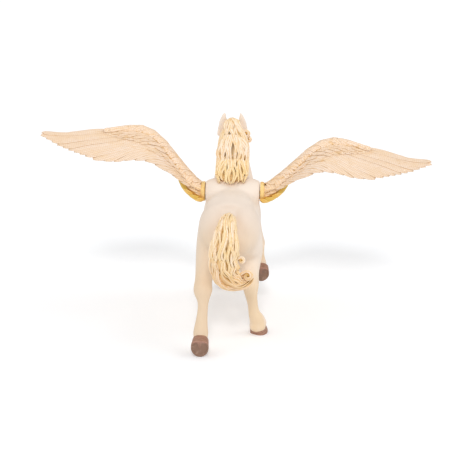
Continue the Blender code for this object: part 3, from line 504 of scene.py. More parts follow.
RIGHT_FORE = [
    (8.6, 25.0, 60.0, 2.30, 4.40, 4.60),
    (10.2, 25.6, 52.0, 2.15, 3.60, 3.80),
    (11.8, 29.2, 45.4, 1.80, 2.50, 2.60),
    (13.2, 34.2, 39.6, 1.50, 1.80, 1.90),
    (14.4, 38.4, 35.0, 1.32, 1.50, 1.50),
    (15.0, 40.0, 31.6, 1.42, 1.60, 1.40),
    (15.4, 38.4, 29.2, 1.15, 1.25, 1.20),
    (15.8, 34.2, 26.6, 0.95, 1.05, 1.05),
    (16.1, 30.2, 24.2, 1.08, 1.15, 1.15),
    (16.3, 27.8, 22.8, 1.30, 1.30, 1.45),
    (16.4, 25.4, 21.0, 1.15, 1.20, 1.25),
    (16.4, 23.6, 19.6, 1.25, 1.30, 1.40),
]

# Hooves, as the coronet's centre, the sole's centre and the way the toe points.
HOOVES = [
    (at(-14.3, -54.2, 6.0), at(-14.4, -60.6, 4.9), Vector((0.0, 0.1, -1.0))),
    (at(15.5, -25.0, 4.8), at(16.3, -23.6, 0.0), Vector((0.5, 0.87, 0.0))),
    (at(-4.4, 50.6, 4.9), at(-4.2, 52.4, 0.0), Vector((0.05, 1.0, 0.0))),
    (at(16.4, 23.8, 20.6), at(16.4, 18.8, 19.1), Vector((0.0, 0.3, -1.0))),
]


def leg(name, joints):
    rows = []
    for x, y, z, *radii in joints:
        rows.append((*at(x, y, z), *(CANNON_RADIUS * radius for radius in radii)))
    return loft(name, rows, sides=28)


def muscles():
    """Bulges that show through the skin, and the bosses that carry the wings."""
    made = []
    for turn in (-1, 1):
        made.append(ellipsoid("haunch", at(turn * 7.6, -27.5, 60.0), at(9.1, 12.8, 14.5), 0.25))
        made.append(ellipsoid("croup", at(turn * 5.8, -22, 68), at(8.0, 13, 8.0), 0.05))
        made.append(ellipsoid("shoulder", at(turn * 7.2, 29, 60), at(6.6, 9.0, 13.0), -0.5))
        made.append(ellipsoid("breast", at(turn * 4.6, 37, 56), at(5.2, 6.0, 7.5), -0.2))
        made.append(wing_boss(turn))
    return made


def heel_bulbs():
    """The soft heels behind the two hooves that stand flat."""
    made = []
    for coronet, _, toe in HOOVES[1:3]:
        centre = coronet - toe * 2.0 * MM + at(0.6, 0, -0.4)
        made.append(ellipsoid("heel", centre, at(4.7, 3.7, 3.2)))
    return made


def wing_boss(turn):
    """The shoulder's swelling that narrows outward to the pad for a wing."""
    rings = []
    for share, half_length, half_height in (
        (0.20, 1.70, 1.36),
        (0.45, 1.70, 1.40),
        (0.65, 1.55, 1.36),
        (0.82, 1.34, 1.24),
        (0.94, 1.14, 1.13),
        (1.00, 1.04, 1.06),
    ):
        centre = Vector((turn * WING_PAD_X * share, WING_ROOT_Y, WING_ROOT_Z))
        height = FLANGE_HALF_HEIGHT * half_height
        length = FLANGE_HALF_LENGTH * half_length
        rings.append(oval(centre, Y_AXIS, Z_AXIS, length, height, height, 32))
    return skin("boss", rings)


# Grooves cut into the skin, as width and depth in millimetres and then the points of a path.
# Points on the head are a share of its length, and heights and widths off its axis.
HEAD_GROOVES = [
    (0.35, 0.50, [(1.035, -0.9, 0.0), (1.00, -1.0, 2.4), (0.93, -1.5, 3.4), (0.85, -2.1, 3.3)]),
    (0.50, 0.75, [(0.965, 1.5, 2.1), (0.925, 1.0, 3.1), (0.90, 0.1, 3.3)]),
    (0.45, 0.45, [(0.20, 1.0, 6.2), (0.24, 2.5, 5.9), (0.30, 2.7, 5.6), (0.35, 1.6, 5.4)]),
    (0.40, 0.30, [(0.21, 0.4, 6.3), (0.27, 0.0, 6.1), (0.34, 0.9, 5.6)]),
    (1.10, 0.45, [(0.16, -5.6, 4.6), (0.30, -7.6, 4.0), (0.44, -6.4, 3.4)]),
    (1.30, 0.40, [(0.44, 0.6, 5.4), (0.60, 0.4, 4.2), (0.74, 0.0, 3.6)]),
]
BODY_GROOVES = [
    (1.3, 0.55, [(1.2, -41.5, 58), (0.6, -39.5, 52), (0.4, -36.0, 47)]),
    (1.6, 0.45, [(15.6, -14, 66), (15.4, -11, 58), (13.5, -12, 50), (11.5, -15, 45)]),
    (1.6, 0.40, [(13.5, 22, 62), (13.0, 19, 54), (11.5, 20, 47)]),
    (1.5, 0.40, [(10.5, 38, 66), (11.5, 36, 58), (11.0, 33, 50)]),
    (1.1, 0.35, [(0.0, 44, 62), (0.0, 43, 54), (0.0, 39, 48)]),
    (1.8, 0.30, [(12.0, -38, 60), (11.5, -36, 52), (12.0, -34, 45)]),
]


def carve(mesh):
    """Presses the grooves into the skin."""
    paths = []
    for turn in (-1, 1):
        for width, depth, points in HEAD_GROOVES:
            path = [on_head(a, b * MM, turn * c * MM) for a, b, c in points]
            paths.append((width * MM, depth * MM, path))
        for width, depth, points in BODY_GROOVES:
            paths.append((width * MM, depth * MM, [at(turn * x, y, z) for x, y, z in points]))
    points, facing = places_and_normals(mesh)
    depths = np.zeros(len(points))
    for width, depth, path in paths:
        path = np.array(spline([tuple(point) for point in path], 8))
        box = (points > path.min(0) - 3 * width).all(1) & (points < path.max(0) + 3 * width).all(1)
        nearby = np.flatnonzero(box)
        away = np.linalg.norm(points[nearby, None] - path[None], axis=2).min(1)
        depths[nearby] = np.maximum(depths[nearby], depth * np.exp(-((away / width) ** 2)))
    points -= facing * depths[:, None]
    mesh.vertices.foreach_set("co", points.astype(np.float32).ravel())
    mesh.update()


def horse_skin():
    """The horse without hair and hooves, as one smooth moulding."""
    flesh = joined("flesh", [
        trunk(),
        neck(),
        *head(),
        leg("left_hind", LEFT_HIND),
        leg("right_hind", RIGHT_HIND),
        leg("left_fore", LEFT_FORE),
        leg("right_fore", RIGHT_FORE),
        *muscles(),
        *heel_bulbs(),
    ])
    fuse(flesh, FLESH_VOXEL, 8)
    made = joined("horse_skin", [flesh, *ears()])
    fuse(made, SKIN_VOXEL, 5)
    carve(made.data)
    thin_out(made, SKIN_TRIANGLES)
    return made


def eyes():
    made = []
    for turn in (-1, 1):
        centre = on_head(0.275, 1.3 * MM, turn * 4.9 * MM)
        radii = (EYE_RADIUS * 0.9, EYE_RADIUS * 1.25, EYE_RADIUS)
        made.append(ellipsoid("eye", centre, radii, HEAD_PITCH, HEAD_YAW))
    return joined("eyes", made)


# Hooves


# Points round a hoof, and the insets of the rings that close its sole
HOOF_SIDES = 48
SOLE_INSETS = (0.94, 0.88, 0.84, 0.78, 0.68, 0.56, 0.44, 0.32, 0.2, 0.08)


def hoof(gathered, coronet, sole, toe):
    """A flared hoof with growth rings, and a hollow sole with a frog where it is off the ground."""
    axis = (sole - coronet).normalized()
    toe = square_to(toe, axis)
    side = toe.cross(axis)
    raised = sole.z > 2 * MM
    rings, traits = [], []
    sections = [
        # share from coronet to sole, half width, toe reach, heel reach
        (-0.10, 0.54, 0.46, 0.50),
        (-0.04, 0.82, 0.72, 0.78),
        (0.05, 0.92, 0.82, 0.88),
        (0.30, 0.94, 0.88, 0.89),
        (0.72, 0.99, 0.96, 0.92),
        (0.94, 1.01, 1.01, 0.94),
        (1.00, 0.98, 0.99, 0.91),
    ]
    half = HOOF_SIDES // 2 + 1
    for share, *radii in spline(sections, 5):
        growth = 1 + 0.012 * math.sin(26 * share)
        radii = (
            radii[0] * HOOF_HALF_WIDTH * growth,
            radii[1] * HOOF_HALF_LENGTH * growth,
            radii[2] * HOOF_HALF_LENGTH * growth,
        )
        centre = coronet.lerp(sole, share)
        toe_half = oval(centre, side, toe, *radii, HOOF_SIDES, 1.85)[:half]
        heel_half = oval(centre, side, toe, *radii, HOOF_SIDES, 2.9)[half:]
        rings.append(toe_half + heel_half)
        traits.append([(share, math.sin(math.tau * k / HOOF_SIDES), 0.0) for k in range(HOOF_SIDES)])
    sole_rim = rings[-1]
    for inset in SOLE_INSETS:
        ring, values = [], []
        for rim in sole_rim:
            spot = (rim - sole) * inset
            across = spot.dot(side) / HOOF_HALF_WIDTH
            along = spot.dot(toe) / HOOF_HALF_LENGTH
            depth, frog = sole_depth(inset, across, along) if raised else (0.0, 0.0)
            ring.append(sole + spot - axis * depth)
            values.append((1.0, along, frog))
        rings.append(ring)
        traits.append(values)
    gathered.add(rings, traits)


def sole_depth(inset, across, along):
    """How deep a raised sole is at a point, and how much of the frog is there."""
    hollow = min(1.0, max(0.0, (0.88 - inset) / 0.08))
    reach = 0.34 * (0.30 - along)
    frog = min(1.0, max(0.0, (reach - abs(across)) / 0.10)) if along < 0.30 else 0.0
    cleft = math.exp(-((across / 0.06) ** 2)) * min(1.0, max(0.0, 0.1 - along) * 3)
    return SOLE_RECESS * (hollow * (1 - 0.95 * frog) + 0.5 * cleft * frog), frog


def all_hooves():
    gathered = Gathered()
    for coronet, sole, toe in HOOVES:
        hoof(gathered, coronet, sole, toe)
    return gathered.build("hooves")


# Mane and tail


STRAND_SIDES = 20
STRAND_STEPS = 6
RIDGE_SWELL = 0.13
BED_SIDES = 28


def strand(gathered, points, half_width, half_depth, outward, ridges, twist, tint):
    """A lock of hair along these points, grooved lengthwise, broad in the middle and pointed at the end."""
    centres = [Vector(point) for point in spline([tuple(point) for point in points], STRAND_STEPS)]
    rings, traits = [], []
    for i, (centre, tangent) in enumerate(zip(centres, tangents(centres))):
        outward = square_to(outward, tangent)
        side = tangent.cross(outward)
        share = i / (len(centres) - 1)
        taper = min(1.0, 0.5 + 1.8 * share) * math.sqrt(max(1 - share**2.6, 0.004))
        depth = half_depth * max(taper, 0.12)
        ring, values = [], []
        for k in range(STRAND_SIDES):
            angle = math.tau * k / STRAND_SIDES
            ridge = math.cos(ridges * angle + twist * math.tau * share)
            swell = 1 + RIDGE_SWELL * ridge
            across = side * math.cos(angle) * half_width * taper
            ring.append(centre + (across + outward * math.sin(angle) * depth) * swell)
            values.append((0.5 + 0.5 * ridge, share, tint))
        rings.append(ring)
        traits.append(values)
    gathered.add(rings, traits)


def bed(gathered, rows, outward):
    """The solid under the locks. A row is x, y, z, half width, outward radius, inward radius."""
    rows = spline(rows, 4)
    centres = [Vector(row[:3]) for row in rows]
    rings, traits = [], []
    for i, (centre, tangent) in enumerate(zip(centres, tangents(centres))):
        outward = square_to(outward, tangent)
        rings.append(oval(centre, tangent.cross(outward), outward, *rows[i][3:], BED_SIDES))
        # The bed is painted like the bottom of a groove, in golden wash and painted shade
        traits.append([(0.15, i / len(rows), 0.3)] * BED_SIDES)
    gathered.add(rings, traits)


# The dark ergot at the back of the left hind fetlock
ERGOT = at(-15.4, -54.6, 13.4)
ERGOT_REACH = 1.6 * MM

# The crest of the neck from the poll to the withers, in millimetres.
CREST = [
    (-0.9, 37.5, 105.2),
    (-0.8, 33.8, 103.4),
    (-0.5, 30.2, 97.2),
    (0, 27.2, 91.0),
    (-0.2, 23.4, 85.0),
    (-0.5, 17.6, 79.8),
    (-0.6, 8.4, 75.0),
]


def crest_point(share):
    """A point on the crest, counted as a share of the way from the poll to the withers."""
    return Vector(looked_up([(i / (len(CREST) - 1), *row) for i, row in enumerate(CREST)], share)) * MM


# How far the mane's bed of hair reaches to the side of the crest and out from it, at shares of its length.
MANE_BED = [
    (0.00, 1.7, 1.6),
    (0.15, 3.6, 2.0),
    (0.33, 6.3, 1.9),
    (0.50, 7.6, 1.7),
    (0.70, 8.0, 1.5),
    (0.86, 8.2, 1.1),
    (1.00, 6.2, 0.4),
]


def on_mane(share, degrees, lift=0.0):
    """A point on the mane: a share of the crest, an angle round it from its top, and a lift in mm."""
    tangent = (crest_point(min(share + 0.04, 1.0)) - crest_point(max(share - 0.04, 0.0))).normalized()
    outward = tangent.cross(X_AXIS)
    wide, deep = looked_up(MANE_BED, share)
    angle = math.radians(degrees)
    across = X_AXIS * math.sin(angle) * (wide + lift) * MM
    return crest_point(share) + across + outward * math.cos(angle) * (deep + lift) * MM


def mane_lock(gathered, stops, chance, half_width, wave, bulge, tint):
    """A lock laid on the mane through these stops, as share, angle and lift, with a wave of its own."""
    phase = chance.uniform(0, math.tau)
    pace = chance.uniform(7.0, 11.0)
    points = []
    smooth = spline(stops, 3)
    for i, (share, degrees, lift) in enumerate(smooth):
        run = i / (len(smooth) - 1)
        sway = wave * math.sin(phase + pace * run) * (0.4 + 0.6 * run)
        points.append(on_mane(share, degrees + sway, lift + bulge * math.sin(math.pi * run)))
    outward = (points[1] - crest_point(stops[0][0]) + at(0, -0.4, 0.2)).normalized()
    width = half_width * chance.uniform(0.8, 1.25) * MM
    tint = chance.random() if tint is None else tint
    strand(gathered, points, width, 0.95 * MM, outward, 4, chance.uniform(-1.4, 1.4), tint)


# Kinds of lock in the mane. A stop is a share of the crest, what it gains from lock to lock, an angle from
# the top, what that gains, and a lift in mm. The last stop of every third lock moves by the stagger.
SIDE_LOCKS = {
    "numbers": range(6),
    "stops": [
        (0.10, 0.02, 44, 9, 0.0),
        (0.32, 0, 50, 10, 0.6),
        (0.56, 0, 56, 11, 0.7),
        (0.78, 0, 58, 11, 0.6),
        (0.97, 0, 60, 10, 0.3),
    ],
    "half_width": 1.15,
    "wave": 9.0,
    "stagger": -0.05,
}
FAN_LOCKS = {
    "numbers": range(7),
    "stops": [(0.58, 0, 3, 3, 0.1), (0.70, 0, 5, 7, 0.6), (0.86, 0, 5, 10, 0.9), (1.0, 0, 5, 11.5, 0.7)],
    "half_width": 0.95,
    "wave": 6.0,
    "bulge": 0.3,
    "rounding": -0.005,
}
LOBE_LOCKS = {
    "numbers": range(5),
    "stops": [
        (0.31, 0, 4, 6, 0.9),
        (0.40, 0, 6, 10, 1.7),
        (0.51, 0, 9, 11, 2.0),
        (0.60, 0, 10, 11, 1.6),
        (0.68, 0, 8, 10.5, 0.7),
    ],
    "half_width": 1.4,
    "wave": 2.5,
    "wave_gain": 1.5,
    "bulge": 0.6,
    "tint": 1.0,
    "stagger": 0.03,
}
POLL_LOCKS = {
    "numbers": range(-4, 5),
    "stops": [
        (0.0, 0, 0, 14, 0.2),
        (0.07, 0, 0, 13, 1.1),
        (0.16, 0, 4, 12, 1.5),
        (0.25, 0, 8, 12, 1.3),
        (0.33, 0, 4, 13, 0.7),
    ],
    "half_width": 1.25,
    "wave": 12.0,
    "stagger": 0.03,
}
SWEPT_LOCKS = {
    "numbers": range(4),
    "stops": [
        (0.02, 0.03, -22, 8, 1.2),
        (0.12, 0.02, 4, 6, 2.0),
        (0.24, 0.01, 30, 7, 2.0),
        (0.38, 0, 52, 7, 1.4),
        (0.54, 0.03, 60, 8, 0.8),
    ],
    "half_width": 1.1,
    "wave": 4.0,
    "bulge": 0.2,
    "tint": 0.8,
}


def lay_locks(gathered, chance, turn, kind):
    """Lays the locks of one kind on one side of the crest, or across it."""
    for k in kind["numbers"]:
        stops = [
            (share + share_gain * k, turn * (degrees + gain * k), lift)
            for share, share_gain, degrees, gain, lift in kind["stops"]
        ]
        end, degrees, lift = stops[-1]
        end += kind.get("stagger", 0.0) * (k % 3) + kind.get("rounding", 0.0) * k * k
        stops[-1] = (end, degrees, lift)
        wave = kind["wave"] + kind.get("wave_gain", 0.0) * k
        bulge = kind.get("bulge", 0.0)
        mane_lock(gathered, stops, chance, kind["half_width"], wave, bulge, kind.get("tint"))


def mane():
    """Locks in layers: down both sides, a fan over the withers, two lobes and a tuft at the poll."""
    gathered = Gathered()
    chance = random.Random(11)
    rows = []
    for share, wide, deep in MANE_BED:
        rows.append((*crest_point(0.91 * share), wide * MM, deep * MM, 3.6 * MM))
    bed(gathered, rows, Vector((0, -0.3, 1)))
    for turn in (-1, 1):
        for kind in (SIDE_LOCKS, FAN_LOCKS, LOBE_LOCKS):
            lay_locks(gathered, chance, turn, kind)
        for k in range(3):
            forelock(gathered, turn, k)
    lay_locks(gathered, chance, 1, POLL_LOCKS)
    lay_locks(gathered, chance, 1, SWEPT_LOCKS)
    ear_curl(gathered)
    return gathered.build("mane")


def forelock(gathered, turn, k):
    """A lock that falls forward between the ears over the brow."""
    points = [
        crest_point(0.0) + at(turn * (0.5 + 0.9 * k), 0.2, 1.2),
        on_head(0.04, 7.2 * MM, turn * (0.8 + 1.1 * k) * MM),
        on_head(0.18, 7.3 * MM, turn * (1.2 + 1.2 * k) * MM),
        on_head(0.30 + 0.03 * k, 6.9 * MM, turn * (1.3 + 0.7 * k) * MM),
        on_head(0.40 - 0.02 * k, 6.2 * MM, turn * (0.5 + 0.8 * k) * MM),
    ]
    strand(gathered, points, 1.0 * MM, 0.8 * MM, Vector((0, 0.5, 0.8)), 4, 1.0, 0.4)


# A tint past the others, which tells the paint that a lock is wound into a curl
CURL_TINT = 2.0


def rosette(gathered, start, centre, radius, half_width):
    """A lock that winds up into a tight curl, seen from behind."""
    points = [start]
    for k in range(10):
        angle = math.radians(120 - 55 * k)
        reach = radius * (1 - k / 10.5)
        points.append(centre + at(reach * math.cos(angle), -0.12 * k, reach * math.sin(angle)))
    strand(gathered, points, half_width * MM, half_width * MM, Vector((0, -1, 0)), 4, 0.5, CURL_TINT)


def ear_curl(gathered):
    """The curled lock that stands out below the right ear, over the hair that carries it."""
    rosette(gathered, at(3.8, 36.0, 101.0), at(6.9, 34.2, 98.8), 1.9, 1.1)
    rosette(gathered, at(5.0, 35.0, 97.0), at(8.4, 35.0, 95.4), 1.4, 1.0)


# The middle of the tail, from the dock to the end that swings right, as x, y, z, half width and
# half depth in millimetres.
TAIL = [
    (0.4, -36.0, 68.0, 2.4, 2.2),
    (0.2, -42.0, 70.4, 3.2, 2.8),
    (-0.4, -48.0, 68.4, 4.5, 3.6),
    (-1.0, -52.6, 63.4, 5.8, 4.2),
    (-1.8, -55.4, 57.0, 6.9, 4.6),
    (-1.8, -56.6, 50.6, 7.2, 4.8),
    (-0.8, -56.8, 45.4, 6.9, 4.6),
    (2.2, -56.2, 41.4, 5.8, 4.0),
    (6.2, -55.2, 39.8, 4.2, 3.2),
    (9.8, -54.0, 40.8, 2.9, 2.4),
    (12.6, -53.2, 42.6, 1.4, 1.4),
]


def tail():
    """A full tail that arches from the dock, with wavy locks all round it and curls at its end."""
    gathered = Gathered()
    chance = random.Random(5)
    rows = []
    for x, y, z, wide, deep in TAIL:
        rows.append((*at(x, y, z), 0.86 * wide * MM, 0.84 * deep * MM, 0.84 * deep * MM))
    bed(gathered, rows, Vector((0, 0, 1)))
    frames = tail_frames()
    for k in range(30):
        tail_lock(gathered, frames, k / 30, 3, chance.choice((15, 17, 18, 20, 21)), chance)
    for k in range(22):
        tail_lock(gathered, frames, k / 22, 14, chance.choice((27, 29, 30, 30)), chance)
    rosette(gathered, at(3.0, -57.0, 51.6), at(7.2, -56.6, 52.4), 1.3, 0.95)
    rosette(gathered, at(6.0, -57.6, 44.4), at(10.4, -57.4, 44.4), 2.2, 1.25)
    return gathered.build("tail")


def tail_frames():
    """The tail's rows resampled, each with its side and outward directions."""
    rows = spline(TAIL, 3)
    centres = [at(*row[:3]) for row in rows]
    frames = []
    outward = Z_AXIS
    for centre, tangent, row in zip(centres, tangents(centres), rows):
        outward = square_to(outward, tangent)
        frames.append((centre, tangent.cross(outward), outward, row[3] * MM, row[4] * MM))
    return frames


def tail_lock(gathered, frames, place, first, last, chance):
    """A lock that runs down the tail between two rows, at one place round it, with waves of its own."""
    phase = chance.uniform(0, math.tau)
    size = chance.uniform(0.10, 0.20)
    points = []
    for i in range(first, last + 1):
        centre, side, outward, wide, deep = frames[i]
        run = (i - first) / (last - first)
        angle = math.tau * place + size * math.sin(0.95 * i + phase) + 0.2 * math.sin(phase)
        flare = 0.90 + 0.10 * math.sin(0.9 * i + 2 * phase) + 0.10 * run
        across = side * math.cos(angle) * wide + outward * math.sin(angle) * deep
        points.append(centre + across * flare)
    width = chance.uniform(0.75, 1.15) * MM
    side, outward = frames[first][1:3]
    facing = side * math.cos(math.tau * place) + outward * math.sin(math.tau * place)
    strand(gathered, points[::2], width, 0.9 * MM, facing, 4, chance.uniform(-1.5, 1.5), chance.random())


# Wings

# The wing's leading edge, as span, chord position, height and fall towards the trailing edge.
WING_LINE = spline([
    (0.0, 8.0, 0.0, 0.06),
    (10.0, 9.0, 6.9, 0.10),
    (20.0, 10.5, 17.2, 0.15),
    (30.0, 11.5, 26.9, 0.23),
    (40.0, 11.8, 30.3, 0.28),
    (50.0, 9.5, 29.5, 0.29),
    (65.0, 4.0, 28.1, 0.24),
    (80.0, -3.5, 26.8, 0.20),
    (96.0, -13.8, 28.9, 0.19),
], 6)

# The bony arm along the leading edge, as span, chord position, height, half height and half length.
WING_ARM = [
    (1.0, 0.0, -1.2, 3.5, 6.4),
    (5.0, 0.5, 0.8, 3.7, 6.8),
    (11.0, 1.5, 6.4, 3.6, 6.8),
    (18.0, 3.5, 13.8, 3.0, 6.4),
    (25.0, 6.0, 21.4, 2.7, 5.4),
    (32.0, 8.3, 26.8, 2.4, 4.2),
    (39.0, 9.2, 29.4, 2.1, 3.1),
    (46.0, 8.6, 29.3, 1.8, 2.4),
    (56.0, 5.8, 28.4, 1.1, 1.7),
]

# Feather rows from the wing tip inward, as two ends of a row: tip span, tip chord, length, heading in
# degrees and half width. Before them: how many feathers and how far the row lies above the wing.
FLIGHT_ROWS = [
    (2, 0.0, (80.0, -3.0, 24.0, -26, 2.6), (92.2, -11.6, 40.0, -25, 2.9)),
    (9, 0.0, (92.0, -15.0, 42.0, -27, 3.2), (65.0, -26.8, 37.0, -39, 3.8)),
    (7, 0.1, (60.5, -28.6, 36.0, -41, 4.0), (27.0, -21.6, 24.0, -54, 4.0)),
    (3, 0.2, (22.5, -18.4, 20.0, -57, 3.6), (13.0, -13.6, 14.0, -68, 3.2)),
]
COVERT_ROWS = [
    (8, 0.30, (59.5, 1.4, 18.0, -24, 2.6), (35.0, -7.0, 18.0, -44, 3.2)),
    (7, 0.35, (33.5, -10.4, 17.0, -50, 3.1), (14.5, -10.4, 12.0, -64, 2.9)),
    (9, 0.60, (60.0, 3.2, 14.0, -20, 2.2), (26.0, -6.0, 14.0, -48, 2.7)),
    (6, 0.60, (24.5, -7.4, 13.0, -52, 2.7), (9.0, -7.2, 9.0, -56, 2.5)),
    (14, 0.70, (57.0, 5.0, 11.0, -16, 1.8), (8.4, -4.0, 9.0, -50, 2.3)),
    (15, 0.75, (53.0, 6.8, 9.0, -13, 1.6), (7.0, -0.8, 8.0, -40, 2.1)),
    (15, 0.75, (49.0, 8.6, 8.0, -11, 1.5), (6.4, 2.4, 6.6, -32, 2.0)),
    (15, 0.70, (46.0, 10.4, 7.0, -8, 1.4), (6.2, 5.6, 6.0, -24, 1.9)),
    (15, 0.60, (44.0, 12.0, 6.5, -6, 1.3), (6.2, 8.4, 5.6, -16, 1.8)),
    (3, 0.6, (9.5, -8.8, 8.0, -50, 2.5), (5.0, -6.4, 5.0, -40, 2.2)),
]
UNDER_ROWS = [
    (10, -0.9, (66.0, -2.0, 20.0, -25, 2.3), (18.0, -11.0, 14.0, -62, 2.6)),
    (9, -1.3, (58.0, 2.0, 14.0, -20, 2.0), (16.0, -5.5, 11.0, -58, 2.4)),
]


def wing_height(span, chord):
    """Height of the wing above its root, before the arm is laid over it."""
    lead, top, fall = looked_up(WING_LINE, span)
    return top - fall * (lead - chord)


def draped_height(span, chord):
    """Height of the wing with its arm, eased where the two meet."""
    flat = wing_height(span, chord)
    middle, rise, half_height, half_length = looked_up(WING_ARM, span)
    away = abs(chord - middle)
    off = min(1.0, away / half_length)
    bone = rise + 1.2 * half_height * math.sqrt(1 - off * off) - 1.5 * off**4
    bone -= 2 * max(0.0, away - half_length)
    return (flat + bone + math.sqrt((flat - bone) ** 2 + 1.0)) / 2


def wing_surface(span, chord, height=wing_height):
    """Height above the root and the way the upper side faces."""
    slope_out = height(span + 0.5, chord) - height(span - 0.5, chord)
    slope_forward = height(span, chord + 0.5) - height(span, chord - 0.5)
    return height(span, chord), Vector((-slope_out, -slope_forward, 1)).normalized()


# Across a feather: place from edge to edge, and height in feather thicknesses. Then the underside.
FEATHER_SECTION = [
    (-1.0, 0.06), (-0.86, 0.24), (-0.6, 0.33), (-0.3, 0.38), (-0.1, 0.40), (0.0, 0.48), (0.1, 0.40),
    (0.3, 0.37), (0.6, 0.31), (0.86, 0.20), (1.0, 0.00), (0.7, -0.30), (0.0, -0.42), (-0.7, -0.30),
]
# Along a feather: share of its length up to the rounded tip, and share of its width.
FEATHER_STEM = [(0.0, 0.62), (0.12, 0.78), (0.27, 0.92), (0.45, 1.0), (0.62, 1.0), (0.8, 1.0)]
# Along the tip: share of its length, and share of the width.
FEATHER_TIP = [(0.0, 1.0), (0.25, 0.97), (0.5, 0.87), (0.7, 0.72), (0.85, 0.53), (0.95, 0.32), (1.0, 0.1)]


def feather(gathered, span, chord, length, heading, half_width, lift, tint, height):
    """A vane with a raised shaft, a rounded tip and thin edges, laid on the wing's surface."""
    heading = math.radians(heading)
    along = Vector((math.cos(heading), math.sin(heading)))
    across = Vector((-along.y, along.x))
    root = Vector((span, chord)) - along * length
    tip = 1.5 * half_width / length
    outline = [(share * (1 - tip), wide) for share, wide in FEATHER_STEM]
    outline += [(1 - tip + share * tip, wide) for share, wide in FEATHER_TIP]
    slim = min(1.0, 0.45 + length / 50)
    rings, traits = [], []
    for share, wide in outline:
        middle = root + along * length * share - across * FEATHER_BOW * length * 4 * share * (share - 1)
        ring, values = [], []
        for v, n in FEATHER_SECTION:
            spot = middle + across * half_width * wide * v
            rise, normal = wing_surface(*spot, height)
            off = lift + slim * (n * FEATHER_THICKNESS - v * FEATHER_TILT) / MM
            ring.append((Vector((*spot, rise)) + normal * off) * MM)
            values.append((v, share * length, tint))
        rings.append(ring)
        traits.append(values)
    gathered.add(rings, traits)


def feather_rows(name, rows, seed, height=wing_height):
    gathered = Gathered()
    chance = random.Random(seed)
    for count, lift, outer, inner in rows:
        for k in range(count):
            share = k / (count - 1)
            values = [a + (b - a) * share for a, b in zip(outer, inner)]
            loose = 14 / values[2]
            values[2] += chance.uniform(-0.3, 0.3)
            values[3] += chance.uniform(-1.0, 1.0) * loose
            lifted = lift + chance.uniform(-0.06, 0.06)
            feather(gathered, *values, lifted, chance.random(), height)
    return gathered.build(name)


def membrane():
    """The web of skin behind the arm, from which the feathers grow."""
    rings = []
    for span in range(3, 60, 3):
        lead = looked_up(WING_LINE, span)[0]
        reach = 15 - 0.14 * span
        ring = []
        for share, n in ((0, 0), (0.3, 0.8), (0.7, 0.8), (1, 0), (0.7, -0.5), (0.3, -0.5)):
            chord = lead - 2 - reach * share
            rise, normal = wing_surface(span, chord)
            ring.append((Vector((span, chord, rise)) + normal * n) * MM)
        rings.append(ring)
    return skin("membrane", rings)


def arm():
    """The arm that carries the feathers."""
    rows = spline(WING_ARM, 5)
    centres = [at(*row[:3]) for row in rows]
    rings = []
    for centre, tangent, row in zip(centres, tangents(centres), rows):
        half_height, half_length = row[3] * MM, row[4] * MM
        up = square_to(Z_AXIS, tangent)
        rings.append(oval(centre, up.cross(tangent), up, half_length, half_height, half_height, 32))
    made = joined("arm", [skin("arm", rings), membrane()])
    fuse(made, ARM_VOXEL, 3)
    return made


# Tints past the others, which tell the paint that a lock of down is as pale as a feather, or that it is the
# brown strand of wash and painted shade in the crease
PALE_TINT = 2.0
CREASE_WASH_AND_SHADE_TINT = -1.0

# The crease under the arm, where a brown strand stands for wash and painted shade, as distances out along
# the wing and up from its root in mm
CREASE = ((1.0, -2.5), (3.2, -1.9), (5.2, -0.8), (7.2, 0.6), (9.3, 2.0), (11.3, 3.4))

# The golden lobes that overlap below the crease, as a tint and such points from root to tip
LOBES = (
    (0.10, ((0.4, -2.4), (1.8, -3.0), (3.4, -3.1), (5.0, -2.7), (6.6, -1.8))),
    (0.80, ((3.2, -1.6), (5.0, -1.9), (6.8, -1.4), (8.4, -0.3), (10.0, 1.3))),
    (0.30, ((6.8, -0.2), (8.6, 0.3), (10.2, 1.4), (11.8, 3.0), (13.4, 5.4))),
    (0.95, ((10.2, 2.4), (11.8, 3.7), (13.0, 5.2), (14.2, 7.2), (15.2, 9.6))),
)


def down():
    """The soft feathers that overlap under the arm near the body, with pale ones between them and it."""
    gathered = Gathered()
    chance = random.Random(3)
    for layer in range(3):
        for k in range(5):
            chord = -6.6 + 3.1 * k + 0.5 * layer
            reach = 15.2 - 3.6 * layer - 0.35 * k + chance.uniform(-1.2, 1.2)
            low = -2.1 - 0.30 * layer + 0.06 * chord + chance.uniform(-0.4, 0.4)
            points = [
                at(0.2, 0.9 * chord, low + 0.6),
                at(0.25 * reach, chord, low - 0.5 + 0.05 * reach),
                at(0.50 * reach, chord - 0.3, low - 0.8 + 0.18 * reach),
                at(0.78 * reach, chord - 0.8, low - 0.2 + 0.35 * reach),
                at(reach, chord - 1.2, low + 1.2 + 0.52 * reach),
            ]
            strand(gathered, points, 1.9 * MM, 1.35 * MM, Vector((0.4, -0.2, -1)), 4, 0.5, chance.random())
    for k in range(4):
        rise = 2.4 + 1.3 * k
        points = [
            at(1.2, -5.4, 0.7 * rise - 4.0),
            at(4.0, -6.0, rise - 4.2),
            at(7.4, -6.8, rise - 2.8),
            at(10.6, -7.6, rise - 0.6),
            at(13.4 + 0.5 * k, -8.4, 0.9 * rise + 1.8),
        ]
        strand(gathered, points, 1.4 * MM, 0.8 * MM, Vector((0.2, -1, 0.2)), 4, 0.4, PALE_TINT)
    # A brown strand laid in the crease, painted as wash and painted shade
    crease = [at(span, -7.9, height) for span, height in CREASE]
    strand(gathered, crease, 0.8 * MM, 0.5 * MM, Vector((0.2, -1, 0.2)), 4, 0.4, CREASE_WASH_AND_SHADE_TINT)
    for k, (tint, lobe) in enumerate(LOBES):
        points = [at(span, -8.3 - 0.15 * k, height) for span, height in lobe]
        strand(gathered, points, 1.35 * MM, 1.0 * MM, Vector((0.1, -1, -0.3)), 4, 0.5, tint)
    return gathered.build("down")


